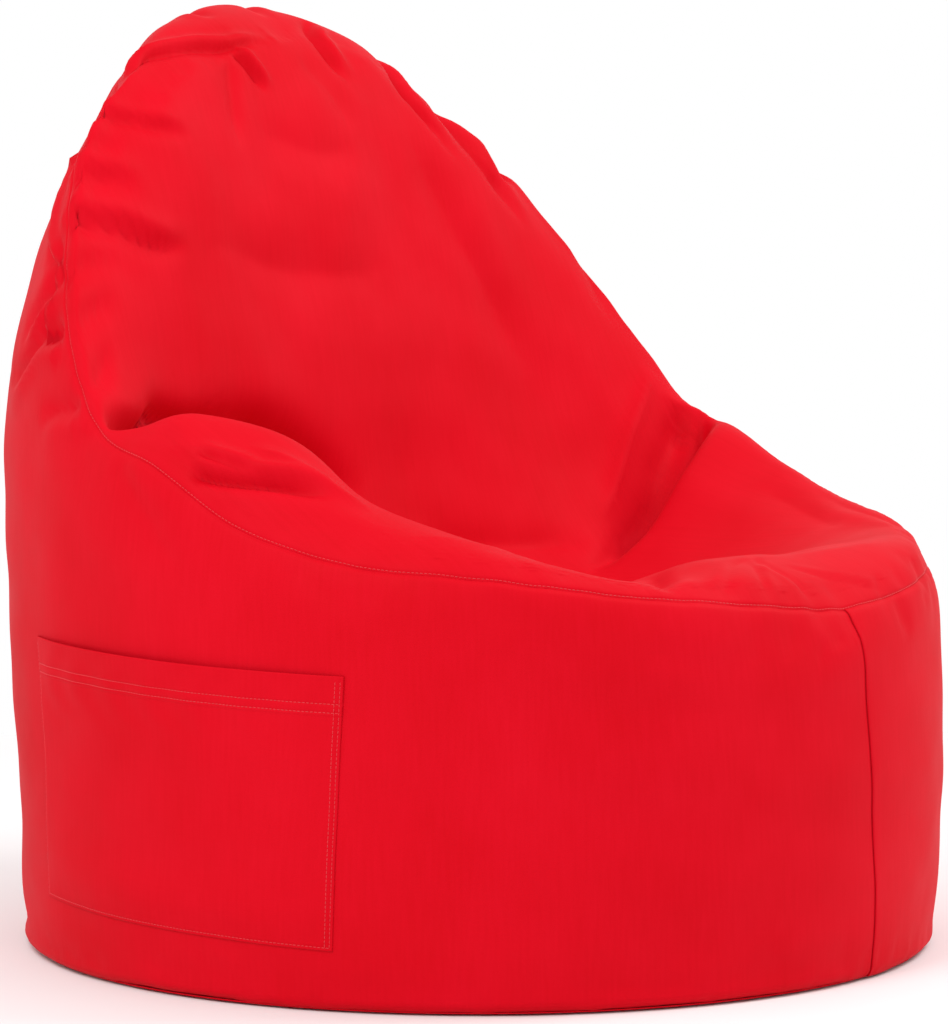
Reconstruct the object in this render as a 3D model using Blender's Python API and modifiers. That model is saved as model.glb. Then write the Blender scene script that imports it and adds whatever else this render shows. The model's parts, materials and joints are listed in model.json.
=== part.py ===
# A bucket-seat bean bag chair: zipped outer cover with a side pocket, inner liner and bead fill.
# Metres, +Z up. The sitter faces -Y. The origin is the middle of the floor face.

import math

import bmesh
import bpy
import numpy as np

# The soft body is a ring of half sections round the Z axis. Each ring below is (radius, height),
# from the middle of the floor outwards and up to the widest part of the wall.
FOOT_RINGS = ((0.0, 0.0), (0.20, 0.0), (0.38, 0.0), (0.430, 0.003), (0.436, 0.032), (0.440, 0.13))
FOOT_EDGE_RING = 3
SEAM_RING = 7
SEAT_RING = 12
SEAT_CENTRE_HEIGHT = 0.305

# The rest of the half section changes with the angle from the front, in degrees:
# (radius, height) of shoulder, seam, crest, brow, lumbar and dish.
FRONT_SECTION = (
    (0.440, 0.24), (0.425, 0.338), (0.352, 0.378), (0.290, 0.368), (0.225, 0.345), (0.140, 0.318)
)
BACK_SECTION = (
    (0.433, 0.62), (0.352, 0.866), (0.286, 0.902), (0.205, 0.815), (0.150, 0.590), (0.110, 0.362)
)
RIGHT_SECTIONS = {
    0: FRONT_SECTION,
    15: ((0.440, 0.24), (0.427, 0.347), (0.358, 0.379), (0.294, 0.368), (0.227, 0.343), (0.140, 0.317)),
    28: ((0.440, 0.25), (0.428, 0.356), (0.362, 0.360), (0.300, 0.358), (0.230, 0.339), (0.140, 0.315)),
    50: ((0.441, 0.26), (0.434, 0.376), (0.370, 0.398), (0.310, 0.379), (0.240, 0.338), (0.145, 0.310)),
    66: ((0.443, 0.27), (0.437, 0.390), (0.362, 0.434), (0.315, 0.405), (0.250, 0.345), (0.150, 0.308)),
    80: ((0.446, 0.30), (0.438, 0.418), (0.360, 0.488), (0.312, 0.450), (0.255, 0.360), (0.155, 0.308)),
    92: ((0.449, 0.33), (0.438, 0.468), (0.385, 0.512), (0.325, 0.460), (0.265, 0.372), (0.160, 0.312)),
    104: ((0.450, 0.38), (0.436, 0.503), (0.400, 0.500), (0.345, 0.452), (0.285, 0.375), (0.165, 0.320)),
    114: ((0.450, 0.44), (0.426, 0.600), (0.405, 0.620), (0.350, 0.560), (0.290, 0.430), (0.160, 0.332)),
    124: ((0.447, 0.50), (0.395, 0.735), (0.365, 0.750), (0.305, 0.680), (0.240, 0.500), (0.150, 0.345)),
    134: ((0.445, 0.54), (0.352, 0.800), (0.315, 0.820), (0.265, 0.745), (0.205, 0.540), (0.140, 0.352)),
    155: ((0.437, 0.60), (0.343, 0.846), (0.282, 0.878), (0.225, 0.795), (0.165, 0.575), (0.120, 0.360)),
    180: BACK_SECTION,
}
LEFT_SECTIONS = {
    0: FRONT_SECTION,
    28: ((0.440, 0.25), (0.430, 0.356), (0.398, 0.383), (0.330, 0.372), (0.240, 0.342), (0.140, 0.315)),
    50: ((0.441, 0.26), (0.434, 0.370), (0.412, 0.393), (0.340, 0.378), (0.250, 0.338), (0.145, 0.310)),
    66: ((0.443, 0.27), (0.437, 0.382), (0.405, 0.408), (0.335, 0.385), (0.255, 0.345), (0.150, 0.308)),
    80: ((0.446, 0.30), (0.438, 0.408), (0.398, 0.438), (0.330, 0.405), (0.260, 0.355), (0.155, 0.308)),
    90: ((0.449, 0.33), (0.438, 0.445), (0.400, 0.473), (0.335, 0.430), (0.270, 0.365), (0.160, 0.312)),
    98: ((0.450, 0.38), (0.436, 0.485), (0.405, 0.490), (0.345, 0.440), (0.285, 0.372), (0.165, 0.320)),
    107: ((0.450, 0.44), (0.426, 0.560), (0.405, 0.573), (0.350, 0.512), (0.290, 0.420), (0.162, 0.330)),
    118: ((0.447, 0.50), (0.396, 0.668), (0.366, 0.684), (0.311, 0.622), (0.252, 0.480), (0.152, 0.343)),
    131: ((0.445, 0.54), (0.350, 0.752), (0.307, 0.767), (0.260, 0.705), (0.208, 0.540), (0.142, 0.352)),
    155: ((0.437, 0.60), (0.339, 0.838), (0.279, 0.868), (0.221, 0.788), (0.165, 0.575), (0.120, 0.360)),
    180: BACK_SECTION,
}

ROUND_STEPS = 48
ROWS_PER_RING = 2
ANGLE_STEP = 360 / ROUND_STEPS

CLOTH_THICKNESS = 0.0016
LINER_DEPTH = 0.0075
LINER_THICKNESS = 0.001
FILL_DEPTH = 0.014
SEAM_GAP_ANGLE = 0.05
WALL_SEAM_GAP = 0.003
SEAT_SEAM_GAP = 0.006
BASE_RADIUS = 0.4285
MERGE_DISTANCE = 1e-6
SMOOTH_ANGLE = math.radians(40)
NORMAL_ANGLE_STEP = 1
NORMAL_RING_STEP = 0.1

POCKET_FIRST_ANGLE = -116.25
POCKET_LAST_ANGLE = -67.5
POCKET_ACROSS = 13
POCKET_ROWS = 9
POCKET_FOOT = 0.060
POCKET_MOUTH = 0.300
POCKET_TILT = 0.012
POCKET_EDGE_GAP = 0.0006
POCKET_STAND_OFF = 0.010
POCKET_EDGE_SHARE = 0.16

ZIP_FACE = 0.4425
ZIP_FOOT = 0.090
ZIP_TOP = 0.490
ZIP_SLOT_HALF = 0.0154
ZIP_SLOT_REACH = 0.05
ZIP_TAPE_HALF = 0.0150
ZIP_TAPE_THICKNESS = 0.0008
TEETH_INNER = 0.0007
TEETH_OUTER = 0.0024
TEETH_HEIGHT = 0.0024
TEETH_PROUD = 0.0008
TAPE_CLEARANCE = 0.0004
STOP_SIZE = (0.0052, 0.0010, 0.0032)
SLIDER_REST = 0.468
SLIDER_PLATE = (0.0088, 0.0010, 0.0112)
SLIDER_CLEARANCE = 0.0004
SLIDER_WEDGE_HALF = 0.0003
BAIL_RADIUS = 0.0032
BAIL_WIRE = 0.0006
BAIL_LEG = 0.0012
BAIL_ARC_STEPS = 8
PULL_SIZE = (0.0064, 0.0012, 0.0290)
PULL_EYE = (0.0032, 0.0060)
PULL_BAR = 0.0006

LINER_ZIP_FACE = 0.4362
LINER_ZIP_FOOT = 0.150
LINER_ZIP_TOP = 0.430
LINER_SLIDER_REST = 0.412
LINER_SLOT_ANGLE = 2.05
LINER_TAPE_HALF = 0.0140
LEAST_ROW_GAP = 0.12

CLOTH_RED = (0.80, 0.012, 0.028, 1.0)
ZIP_RED = (0.55, 0.010, 0.020, 1.0)
LINER_WHITE = (0.82, 0.82, 0.80, 1.0)
BEAD_WHITE = (0.92, 0.92, 0.92, 1.0)
SLIDER_GREY = (0.20, 0.20, 0.21, 1.0)


def clear_scene():
    for thing in list(bpy.data.objects):
        bpy.data.objects.remove(thing, do_unlink=True)


def new_collection(name):
    collection = bpy.data.collections.new(name)
    bpy.context.scene.collection.children.link(collection)
    return collection


def finish(name, colour, roughness, metallic=0.0):
    material = bpy.data.materials.new(name)
    material.use_nodes = True
    shader = material.node_tree.nodes["Principled BSDF"]
    shader.inputs["Base Color"].default_value = colour
    shader.inputs["Roughness"].default_value = roughness
    shader.inputs["Metallic"].default_value = metallic
    material.diffuse_color = colour
    return material


def through_points(stops, values, place):
    """A smooth curve through values at stops, read at place."""
    index = int(np.clip(np.searchsorted(stops, place, side="right") - 1, 0, len(stops) - 2))
    slopes = []
    for k in (index, index + 1):
        before, after = max(k - 1, 0), min(k + 1, len(stops) - 1)
        inside = 0 < k < len(stops) - 1
        slopes.append((values[after] - values[before]) / (stops[after] - stops[before]) * inside)
    width = stops[index + 1] - stops[index]
    s = (place - stops[index]) / width
    rise = s * s * (3 - 2 * s)
    start_pull = s * (1 - s) ** 2 * width
    end_pull = -s * s * (1 - s) * width
    along = values[index] * (1 - rise) + values[index + 1] * rise
    return along + slopes[0] * start_pull + slopes[1] * end_pull


SECTION_CACHE = {}


def section(angle):
    """The half section's rings at this angle from the front: positive to the sitter's left."""
    key = round(angle, 4)
    if key not in SECTION_CACHE:
        table = LEFT_SECTIONS if angle > 0 else RIGHT_SECTIONS
        stops = list(table)
        values = [np.array(table[stop]) for stop in stops]
        upper = through_points(stops, values, abs(angle))
        SECTION_CACHE[key] = np.vstack([FOOT_RINGS, upper, (0.0, SEAT_CENTRE_HEIGHT)])
    return SECTION_CACHE[key]


def surface_point(angle, ring):
    rings = section(angle)
    radius, height = through_points(range(len(rings)), rings, ring)
    turn = math.radians(angle)
    return np.array((math.sin(turn) * radius, -math.cos(turn) * radius, height))


def wrapped(angle):
    return (angle + 180) % 360 - 180


def outward(angle, ring):
    """The surface's unit normal, pointing out of the bag."""
    if ring <= 0:
        return np.array((0.0, 0.0, -1.0))
    if ring >= SEAT_RING:
        return np.array((0.0, 0.0, 1.0))
    before, after = wrapped(angle - NORMAL_ANGLE_STEP), wrapped(angle + NORMAL_ANGLE_STEP)
    round_way = surface_point(after, ring) - surface_point(before, ring)
    below, above = max(ring - NORMAL_RING_STEP, 0), min(ring + NORMAL_RING_STEP, SEAT_RING)
    up_way = surface_point(angle, above) - surface_point(angle, below)
    normal = np.cross(round_way, up_way)
    return normal / np.linalg.norm(normal)


def body_point(angle, ring, depth):
    """A point this far under the bag's surface, or above it where depth is negative."""
    return surface_point(angle, ring) - outward(angle, ring) * depth


def ring_at_height(angle, height):
    """The place on the wall, in rings, that is this high."""
    rings = np.linspace(FOOT_EDGE_RING, SEAM_RING, 81)
    heights = [surface_point(angle, ring)[2] for ring in rings]
    return float(np.interp(height, heights, rings))


def body_grid(angles, rings, depth):
    return [[body_point(angle, ring, depth) for ring in rings] for angle in angles]


def make_object(name, bm, material, collection):
    mesh = bpy.data.meshes.new(name)
    bm.to_mesh(mesh)
    bm.free()
    mesh.shade_smooth()
    mesh.set_sharp_from_angle(angle=SMOOTH_ANGLE)
    mesh.materials.append(material)
    thing = bpy.data.objects.new(name, mesh)
    collection.objects.link(thing)
    return thing


def add_points(bm, grid):
    """Vertices of a grid. A column end that is one shared point gets one vertex."""
    table = [[None] * len(grid[0]) for _ in grid]
    for row in range(len(grid[0])):
        spread = max(np.linalg.norm(column[row] - grid[0][row]) for column in grid)
        shared = bm.verts.new(grid[0][row]) if spread < MERGE_DISTANCE else None
        for column in range(len(grid)):
            table[column][row] = shared or bm.verts.new(grid[column][row])
    return table


def add_face(bm, *corners):
    distinct = list(dict.fromkeys(corners))
    if len(distinct) > 2:
        bm.faces.new(distinct)


def add_surface(bm, points, around, skip=()):
    columns, rows = len(points), len(points[0])
    for a in range(columns if around else columns - 1):
        b = (a + 1) % columns
        for row in range(rows - 1):
            if (a, row) in skip:
                continue
            corners = [points[a][row], points[b][row], points[b][row + 1], points[a][row + 1]]
            add_face(bm, *corners)


def settle_faces(bm):
    """The same diagonal in every four-sided face, so that skins over each other stay parallel."""
    bmesh.ops.triangulate(bm, faces=bm.faces, quad_method="FIXED")
    bmesh.ops.recalc_face_normals(bm, faces=bm.faces)


def skin(name, outer, inner, around, material, collection):
    """A closed slab between two grids with the same layout."""
    bm = bmesh.new()
    outside = add_points(bm, outer)
    inside = add_points(bm, inner)
    add_surface(bm, outside, around)
    add_surface(bm, inside, around)
    columns, rows = len(outside), len(outside[0])
    for row in (0, rows - 1):
        if outside[0][row] is outside[1][row]:
            continue
        for a in range(columns if around else columns - 1):
            b = (a + 1) % columns
            add_face(bm, outside[a][row], outside[b][row], inside[b][row], inside[a][row])
    if not around:
        for a in (0, columns - 1):
            for row in range(rows - 1):
                corners = (outside[a][row], outside[a][row + 1], inside[a][row + 1], inside[a][row])
                add_face(bm, *corners)
    settle_faces(bm)
    return make_object(name, bm, material, collection)


def ring_rows(first, last):
    return list(np.linspace(first, last, round((last - first) * ROWS_PER_RING) + 1))


def full_circle():
    return [-180 + ANGLE_STEP * k for k in range(ROUND_STEPS)]


def seat_back_panel(material, collection):
    rings = ring_rows(SEAM_RING, SEAT_RING)
    rings[0] += SEAT_SEAM_GAP
    outer = body_grid(full_circle(), rings, 0.0)
    inner = body_grid(full_circle(), rings, CLOTH_THICKNESS)
    return skin("seat_back_panel", outer, inner, True, material, collection)


def side_panel(name, side, material, collection):
    """One wall panel, from the centre front seam to the centre back seam."""
    angles = [side * ANGLE_STEP * k for k in range(ROUND_STEPS // 2 + 1)]
    angles[0] = side * SEAM_GAP_ANGLE
    angles[-1] = side * (180 - SEAM_GAP_ANGLE)
    rings = ring_rows(FOOT_EDGE_RING, SEAM_RING)
    rings[-1] -= WALL_SEAM_GAP
    outer = body_grid(angles, rings, 0.0)
    inner = body_grid(angles, rings, CLOTH_THICKNESS)
    return skin(name, outer, inner, False, material, collection)


def box(name, low, high, material, collection, bevel=0.0):
    bm = bmesh.new()
    bmesh.ops.create_cube(bm, size=1.0)
    low, high = np.array(low), np.array(high)
    for vertex in bm.verts:
        vertex.co = low + (np.array(vertex.co) + 0.5) * (high - low)
    if bevel:
        upright = [e for e in bm.edges if abs(e.verts[0].co.y - e.verts[1].co.y) > MERGE_DISTANCE]
        bmesh.ops.bevel(bm, geom=upright, offset=bevel, segments=3, affect="EDGES", profile=0.5)
    return make_object(name, bm, material, collection)


def boolean(target, cutter, operation):
    modifier = target.modifiers.new(operation.lower(), "BOOLEAN")
    modifier.operation = operation
    modifier.solver = "EXACT"
    modifier.object = cutter


def as_cutter(thing):
    thing.hide_render = True
    thing.display_type = "WIRE"
    return thing


def base_panel(material, collection):
    bm = bmesh.new()
    bmesh.ops.create_cone(
        bm,
        cap_ends=True,
        segments=ROUND_STEPS,
        radius1=BASE_RADIUS,
        radius2=BASE_RADIUS,
        depth=CLOTH_THICKNESS,
    )
    bmesh.ops.translate(bm, verts=bm.verts, vec=(0, 0, CLOTH_THICKNESS / 2))
    return make_object("base_panel", bm, material, collection)


def inner_layout():
    """The columns and rows that the liner and the fill share, with rows at the ends of the liner's zip."""
    angles = [LINER_SLOT_ANGLE - 180] + full_circle()[1:] + [180 - LINER_SLOT_ANGLE]
    zip_rows = [ring_at_height(180, height) for height in (LINER_ZIP_FOOT, LINER_ZIP_TOP)]
    every_row = ring_rows(0, SEAT_RING)
    plain_rows = [ring for ring in every_row if all(abs(ring - row) > LEAST_ROW_GAP for row in zip_rows)]
    return angles, sorted(plain_rows + zip_rows), zip_rows


def bead_fill(material, collection):
    angles, rings, _ = inner_layout()
    bm = bmesh.new()
    points = add_points(bm, body_grid(angles, rings, FILL_DEPTH))
    add_surface(bm, points, True)
    settle_faces(bm)
    return make_object("bead_fill", bm, material, collection)


def inner_liner(material, collection):
    """The liner bag, open where its filling zip is."""
    angles, rings, zip_rows = inner_layout()
    first, last = (rings.index(row) for row in zip_rows)
    bm = bmesh.new()
    points = add_points(bm, body_grid(angles, rings, LINER_DEPTH))
    slot = {(len(angles) - 1, row) for row in range(first, last)}
    add_surface(bm, points, True, skip=slot)
    settle_faces(bm)
    liner = make_object("inner_liner", bm, material, collection)
    wall = liner.modifiers.new("cloth", "SOLIDIFY")
    wall.thickness = LINER_THICKNESS
    wall.offset = -1
    return liner


def pocket_depth(across, up):
    """How far the pocket stands off the wall: sewn down at its sides and foot, open at its mouth."""
    side = min(across, 1 - across) / POCKET_EDGE_SHARE
    foot = up / POCKET_EDGE_SHARE
    lift = math.sin(min(side, foot, 1.0) * math.pi / 2)
    return POCKET_EDGE_GAP + (POCKET_STAND_OFF - POCKET_EDGE_GAP) * lift


def side_pocket(material, collection):
    outer, inner = [], []
    for across in np.linspace(0, 1, POCKET_ACROSS + 1):
        angle = POCKET_FIRST_ANGLE + (POCKET_LAST_ANGLE - POCKET_FIRST_ANGLE) * across
        shift = POCKET_TILT * (0.5 - across)
        outer_column, inner_column = [], []
        for up in np.linspace(0, 1, POCKET_ROWS + 1):
            height = POCKET_FOOT + (POCKET_MOUTH - POCKET_FOOT) * up + shift
            ring = ring_at_height(angle, height)
            away = pocket_depth(across, up)
            outer_column.append(body_point(angle, ring, -away - CLOTH_THICKNESS))
            inner_column.append(body_point(angle, ring, -away))
        outer.append(outer_column)
        inner.append(inner_column)
    return skin("side_pocket", outer, inner, False, material, collection)


def zip_side(prefix, side_name, side, face, foot, top, tape_half, finishes, collection):
    """One tape and its row of teeth, closed against the other side."""
    name = f"{prefix}_tape_{side_name}"
    inner, outer = sorted((side * (TEETH_OUTER + TAPE_CLEARANCE), side * tape_half))
    low, high = (inner, face - ZIP_TAPE_THICKNESS, foot), (outer, face, top)
    box(name, low, high, finishes["tape"], collection)
    name = f"{prefix}_teeth_{side_name}"
    inner, outer = sorted((side * TEETH_INNER, side * TEETH_OUTER))
    low = (inner, face + TEETH_PROUD - TEETH_HEIGHT, foot + STOP_SIZE[2] + TAPE_CLEARANCE)
    high = (outer, face + TEETH_PROUD, top - STOP_SIZE[2] - TAPE_CLEARANCE)
    box(name, low, high, finishes["teeth"], collection)


def zip_stop(name, face, foot, material, collection):
    """A clip across both rows at an end of the zip, in line with the teeth."""
    half, thickness, height = STOP_SIZE
    half = half / 2 - TAPE_CLEARANCE
    low = (-half, face - thickness, foot)
    high = (half, face + thickness, foot + height)
    box(name, low, high, material, collection)


def slider_plates(name, face, rest, material, collection, cutters):
    """The slider: a plate on each side of the teeth, joined between the rows by a thin wedge."""
    half_width, thickness, height = SLIDER_PLATE[0] / 2, SLIDER_PLATE[1], SLIDER_PLATE[2]
    low_z, high_z = rest - height / 2, rest + height / 2
    front_low = face + TEETH_PROUD + SLIDER_CLEARANCE
    back_high = face + TEETH_PROUD - TEETH_HEIGHT - SLIDER_CLEARANCE
    slider = box(
        name,
        (-half_width, front_low, low_z),
        (half_width, front_low + thickness, high_z),
        material,
        collection,
        bevel=half_width / 2,
    )
    back = box(
        name + "_back",
        (-half_width, back_high - thickness, low_z),
        (half_width, back_high, high_z),
        material,
        cutters,
        bevel=half_width / 2,
    )
    wedge = box(
        name + "_wedge",
        (-SLIDER_WEDGE_HALF, back_high - thickness / 2, low_z + height / 2),
        (SLIDER_WEDGE_HALF, front_low + thickness / 2, high_z - height / 8),
        material,
        cutters,
    )
    boolean(slider, as_cutter(wedge), "UNION")
    boolean(slider, as_cutter(back), "UNION")
    return slider, front_low + thickness


def curve_as_mesh(name, points, wire, material, collection):
    """A round wire along points, as a closed mesh."""
    curve = bpy.data.curves.new(name, "CURVE")
    curve.dimensions = "3D"
    curve.bevel_depth = wire
    curve.bevel_resolution = 2
    curve.use_fill_caps = True
    spline = curve.splines.new("POLY")
    spline.points.add(len(points) - 1)
    for point, place in zip(spline.points, points):
        point.co = (*place, 1.0)
    guide = bpy.data.objects.new(name + "_guide", curve)
    collection.objects.link(guide)
    graph = bpy.context.evaluated_depsgraph_get()
    mesh = bpy.data.meshes.new_from_object(guide.evaluated_get(graph), depsgraph=graph)
    bm = bmesh.new()
    bm.from_mesh(mesh)
    bmesh.ops.remove_doubles(bm, verts=bm.verts, dist=MERGE_DISTANCE)
    bmesh.ops.recalc_face_normals(bm, faces=bm.faces)
    bpy.data.objects.remove(guide, do_unlink=True)
    return make_object(name, bm, material, collection)


def cover_slider(material, collection, cutters):
    slider, plate_face = slider_plates("zip_slider", ZIP_FACE, SLIDER_REST, material, collection, cutters)
    axis_y = plate_face + BAIL_LEG
    sunk = plate_face - SLIDER_PLATE[1] / 2
    arch = [(0, sunk, SLIDER_REST - BAIL_RADIUS)]
    for step in range(BAIL_ARC_STEPS + 1):
        turn = math.pi * step / BAIL_ARC_STEPS
        out, down = BAIL_RADIUS * math.sin(turn), BAIL_RADIUS * math.cos(turn)
        arch.append((0, axis_y + out, SLIDER_REST - down))
    arch.append((0, sunk, SLIDER_REST + BAIL_RADIUS))
    bail = curve_as_mesh("zip_slider_bail", arch, BAIL_WIRE, material, cutters)
    boolean(slider, as_cutter(bail), "UNION")
    return slider, axis_y


def zip_pull(axis_y, material, collection, cutters):
    """The tab that hangs from the slider's bail. Its origin is on its hinge axis."""
    half_width, thickness, length = PULL_SIZE[0] / 2, PULL_SIZE[1], PULL_SIZE[2]
    eye_half, eye_length = PULL_EYE[0] / 2, PULL_EYE[1]
    pull = box(
        "zip_pull",
        (-half_width, -thickness / 2, PULL_BAR - length),
        (half_width, thickness / 2, PULL_BAR),
        material,
        collection,
        bevel=half_width / 3,
    )
    eye = box(
        "zip_pull_eye",
        (-eye_half, -thickness, -PULL_BAR - eye_length),
        (eye_half, thickness, -PULL_BAR),
        material,
        cutters,
    )
    boolean(pull, as_cutter(eye), "DIFFERENCE")
    for piece in (pull, eye):
        piece.location = (0, axis_y, SLIDER_REST)
    return pull


def cut_zip_slot(panels, cutters, material):
    slot = box(
        "zip_slot",
        (-ZIP_SLOT_HALF, ZIP_FACE - ZIP_SLOT_REACH, ZIP_FOOT - TAPE_CLEARANCE),
        (ZIP_SLOT_HALF, ZIP_FACE + ZIP_SLOT_REACH, ZIP_TOP + TAPE_CLEARANCE),
        material,
        cutters,
    )
    as_cutter(slot)
    for panel in panels:
        boolean(panel, slot, "DIFFERENCE")


def build():
    clear_scene()
    parts = new_collection("bean_bag_chair")
    cutters = new_collection("cutters")
    cloth = finish("cover_cloth", CLOTH_RED, 0.75)
    liner_cloth = finish("liner_cloth", LINER_WHITE, 0.85)
    beads = finish("polystyrene_beads", BEAD_WHITE, 0.6)
    zip_finishes = {
        "tape": finish("zip_tape", ZIP_RED, 0.8),
        "teeth": finish("zip_teeth", ZIP_RED, 0.4),
    }
    liner_zip_finishes = {
        "tape": finish("liner_zip_tape", LINER_WHITE, 0.8),
        "teeth": finish("liner_zip_teeth", LINER_WHITE, 0.4),
    }
    metal = finish("zip_metal", SLIDER_GREY, 0.35, 1.0)

    seat_back_panel(cloth, parts)
    left = side_panel("left_side_panel", 1, cloth, parts)
    right = side_panel("right_side_panel", -1, cloth, parts)
    cut_zip_slot((left, right), cutters, cloth)
    base_panel(cloth, parts)
    side_pocket(cloth, parts)
    inner_liner(liner_cloth, parts)
    bead_fill(beads, parts)

    for side_name, side in (("left", 1), ("right", -1)):
        zip_side(
            "zip", side_name, side, ZIP_FACE, ZIP_FOOT, ZIP_TOP, ZIP_TAPE_HALF, zip_finishes, parts
        )
        zip_side(
            "liner_zip",
            side_name,
            side,
            LINER_ZIP_FACE,
            LINER_ZIP_FOOT + TAPE_CLEARANCE,
            LINER_ZIP_TOP - TAPE_CLEARANCE,
            LINER_TAPE_HALF,
            liner_zip_finishes,
            parts,
        )
    zip_stop("zip_bottom_stop", ZIP_FACE, ZIP_FOOT, metal, parts)
    zip_stop("zip_top_stop", ZIP_FACE, ZIP_TOP - STOP_SIZE[2], metal, parts)
    _, axis_y = cover_slider(metal, parts, cutters)
    zip_pull(axis_y, metal, parts, cutters)
    slider_plates("liner_zip_slider", LINER_ZIP_FACE, LINER_SLIDER_REST, metal, parts, cutters)


build()
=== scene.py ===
import json
import math

import bpy
import numpy as np
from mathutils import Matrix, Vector
from mathutils.bvhtree import BVHTree
from mathutils.kdtree import KDTree

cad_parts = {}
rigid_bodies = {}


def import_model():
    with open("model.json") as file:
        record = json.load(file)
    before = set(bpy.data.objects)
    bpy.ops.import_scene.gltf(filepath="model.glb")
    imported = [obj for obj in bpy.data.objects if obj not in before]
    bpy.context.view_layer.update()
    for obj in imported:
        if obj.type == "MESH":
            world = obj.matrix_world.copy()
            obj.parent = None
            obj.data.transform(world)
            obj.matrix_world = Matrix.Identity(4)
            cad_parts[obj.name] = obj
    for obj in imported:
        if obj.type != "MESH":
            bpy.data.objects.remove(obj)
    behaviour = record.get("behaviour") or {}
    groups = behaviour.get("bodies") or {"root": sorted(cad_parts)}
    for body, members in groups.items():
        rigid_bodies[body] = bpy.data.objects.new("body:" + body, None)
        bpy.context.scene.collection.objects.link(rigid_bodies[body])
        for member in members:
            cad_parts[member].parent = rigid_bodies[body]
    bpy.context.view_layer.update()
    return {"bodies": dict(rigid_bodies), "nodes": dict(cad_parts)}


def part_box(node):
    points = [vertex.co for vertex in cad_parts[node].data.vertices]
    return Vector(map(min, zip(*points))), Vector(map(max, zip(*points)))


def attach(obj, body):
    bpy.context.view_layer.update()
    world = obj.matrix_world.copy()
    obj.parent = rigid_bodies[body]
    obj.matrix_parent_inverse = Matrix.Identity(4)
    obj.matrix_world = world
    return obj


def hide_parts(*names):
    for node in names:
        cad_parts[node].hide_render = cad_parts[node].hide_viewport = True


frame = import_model()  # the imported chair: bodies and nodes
bodyNames = list(frame["bodies"])
print("frame loaded, bodies:", bodyNames)


# The bag is a ring of half sections round Z. Each pair is (radius, height) in metres, from the
# middle of the base outwards, up the wall, over the arm or the back and down to the seat's middle.
# Angles run from the front, in degrees: above zero to the sitter's left, below zero to the right.
bodyShape = {
    "foot": ((0.0, 0.0), (0.20, 0.0), (0.38, 0.0), (0.430, 0.003), (0.436, 0.032), (0.440, 0.13)),
    "seatMiddle": 0.305,
    "right": {
        0: ((0.440, 0.24), (0.425, 0.338), (0.352, 0.378), (0.290, 0.368), (0.225, 0.345), (0.140, 0.318)),
        15: ((0.440, 0.24), (0.427, 0.347), (0.358, 0.379), (0.294, 0.368), (0.227, 0.343), (0.140, 0.317)),
        28: ((0.440, 0.25), (0.428, 0.356), (0.362, 0.360), (0.300, 0.358), (0.230, 0.339), (0.140, 0.315)),
        50: ((0.441, 0.26), (0.434, 0.376), (0.370, 0.398), (0.310, 0.379), (0.240, 0.338), (0.145, 0.310)),
        66: ((0.443, 0.27), (0.437, 0.390), (0.362, 0.434), (0.315, 0.405), (0.250, 0.345), (0.150, 0.308)),
        80: ((0.446, 0.30), (0.438, 0.418), (0.360, 0.488), (0.312, 0.450), (0.255, 0.360), (0.155, 0.308)),
        92: ((0.449, 0.33), (0.438, 0.468), (0.385, 0.512), (0.325, 0.460), (0.265, 0.372), (0.160, 0.312)),
        104: ((0.450, 0.38), (0.436, 0.503), (0.400, 0.500), (0.345, 0.452), (0.285, 0.375), (0.165, 0.320)),
        114: ((0.450, 0.44), (0.426, 0.600), (0.405, 0.620), (0.350, 0.560), (0.290, 0.430), (0.160, 0.332)),
        124: ((0.447, 0.50), (0.395, 0.735), (0.365, 0.750), (0.305, 0.680), (0.240, 0.500), (0.150, 0.345)),
        134: ((0.445, 0.54), (0.352, 0.800), (0.315, 0.820), (0.265, 0.745), (0.205, 0.540), (0.140, 0.352)),
        155: ((0.437, 0.60), (0.343, 0.846), (0.282, 0.878), (0.225, 0.795), (0.165, 0.575), (0.120, 0.360)),
        180: ((0.433, 0.62), (0.352, 0.866), (0.286, 0.902), (0.205, 0.815), (0.150, 0.590), (0.110, 0.362)),
    },
    "left": {
        0: ((0.440, 0.24), (0.425, 0.338), (0.352, 0.378), (0.290, 0.368), (0.225, 0.345), (0.140, 0.318)),
        28: ((0.440, 0.25), (0.430, 0.356), (0.398, 0.383), (0.330, 0.372), (0.240, 0.342), (0.140, 0.315)),
        50: ((0.441, 0.26), (0.434, 0.370), (0.412, 0.393), (0.340, 0.378), (0.250, 0.338), (0.145, 0.310)),
        66: ((0.443, 0.27), (0.437, 0.382), (0.405, 0.408), (0.335, 0.385), (0.255, 0.345), (0.150, 0.308)),
        80: ((0.446, 0.30), (0.438, 0.408), (0.398, 0.438), (0.330, 0.405), (0.260, 0.355), (0.155, 0.308)),
        90: ((0.449, 0.33), (0.438, 0.445), (0.400, 0.473), (0.335, 0.430), (0.270, 0.365), (0.160, 0.312)),
        98: ((0.450, 0.38), (0.436, 0.485), (0.405, 0.490), (0.345, 0.440), (0.285, 0.372), (0.165, 0.320)),
        107: ((0.450, 0.44), (0.426, 0.560), (0.405, 0.573), (0.350, 0.512), (0.290, 0.420), (0.162, 0.330)),
        118: ((0.447, 0.50), (0.396, 0.668), (0.366, 0.684), (0.311, 0.622), (0.252, 0.480), (0.152, 0.343)),
        131: ((0.445, 0.54), (0.350, 0.752), (0.307, 0.767), (0.260, 0.705), (0.208, 0.540), (0.142, 0.352)),
        155: ((0.437, 0.60), (0.339, 0.838), (0.279, 0.868), (0.221, 0.788), (0.165, 0.575), (0.120, 0.360)),
        180: ((0.433, 0.62), (0.352, 0.866), (0.286, 0.902), (0.205, 0.815), (0.150, 0.590), (0.110, 0.362)),
    },
}
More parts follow.
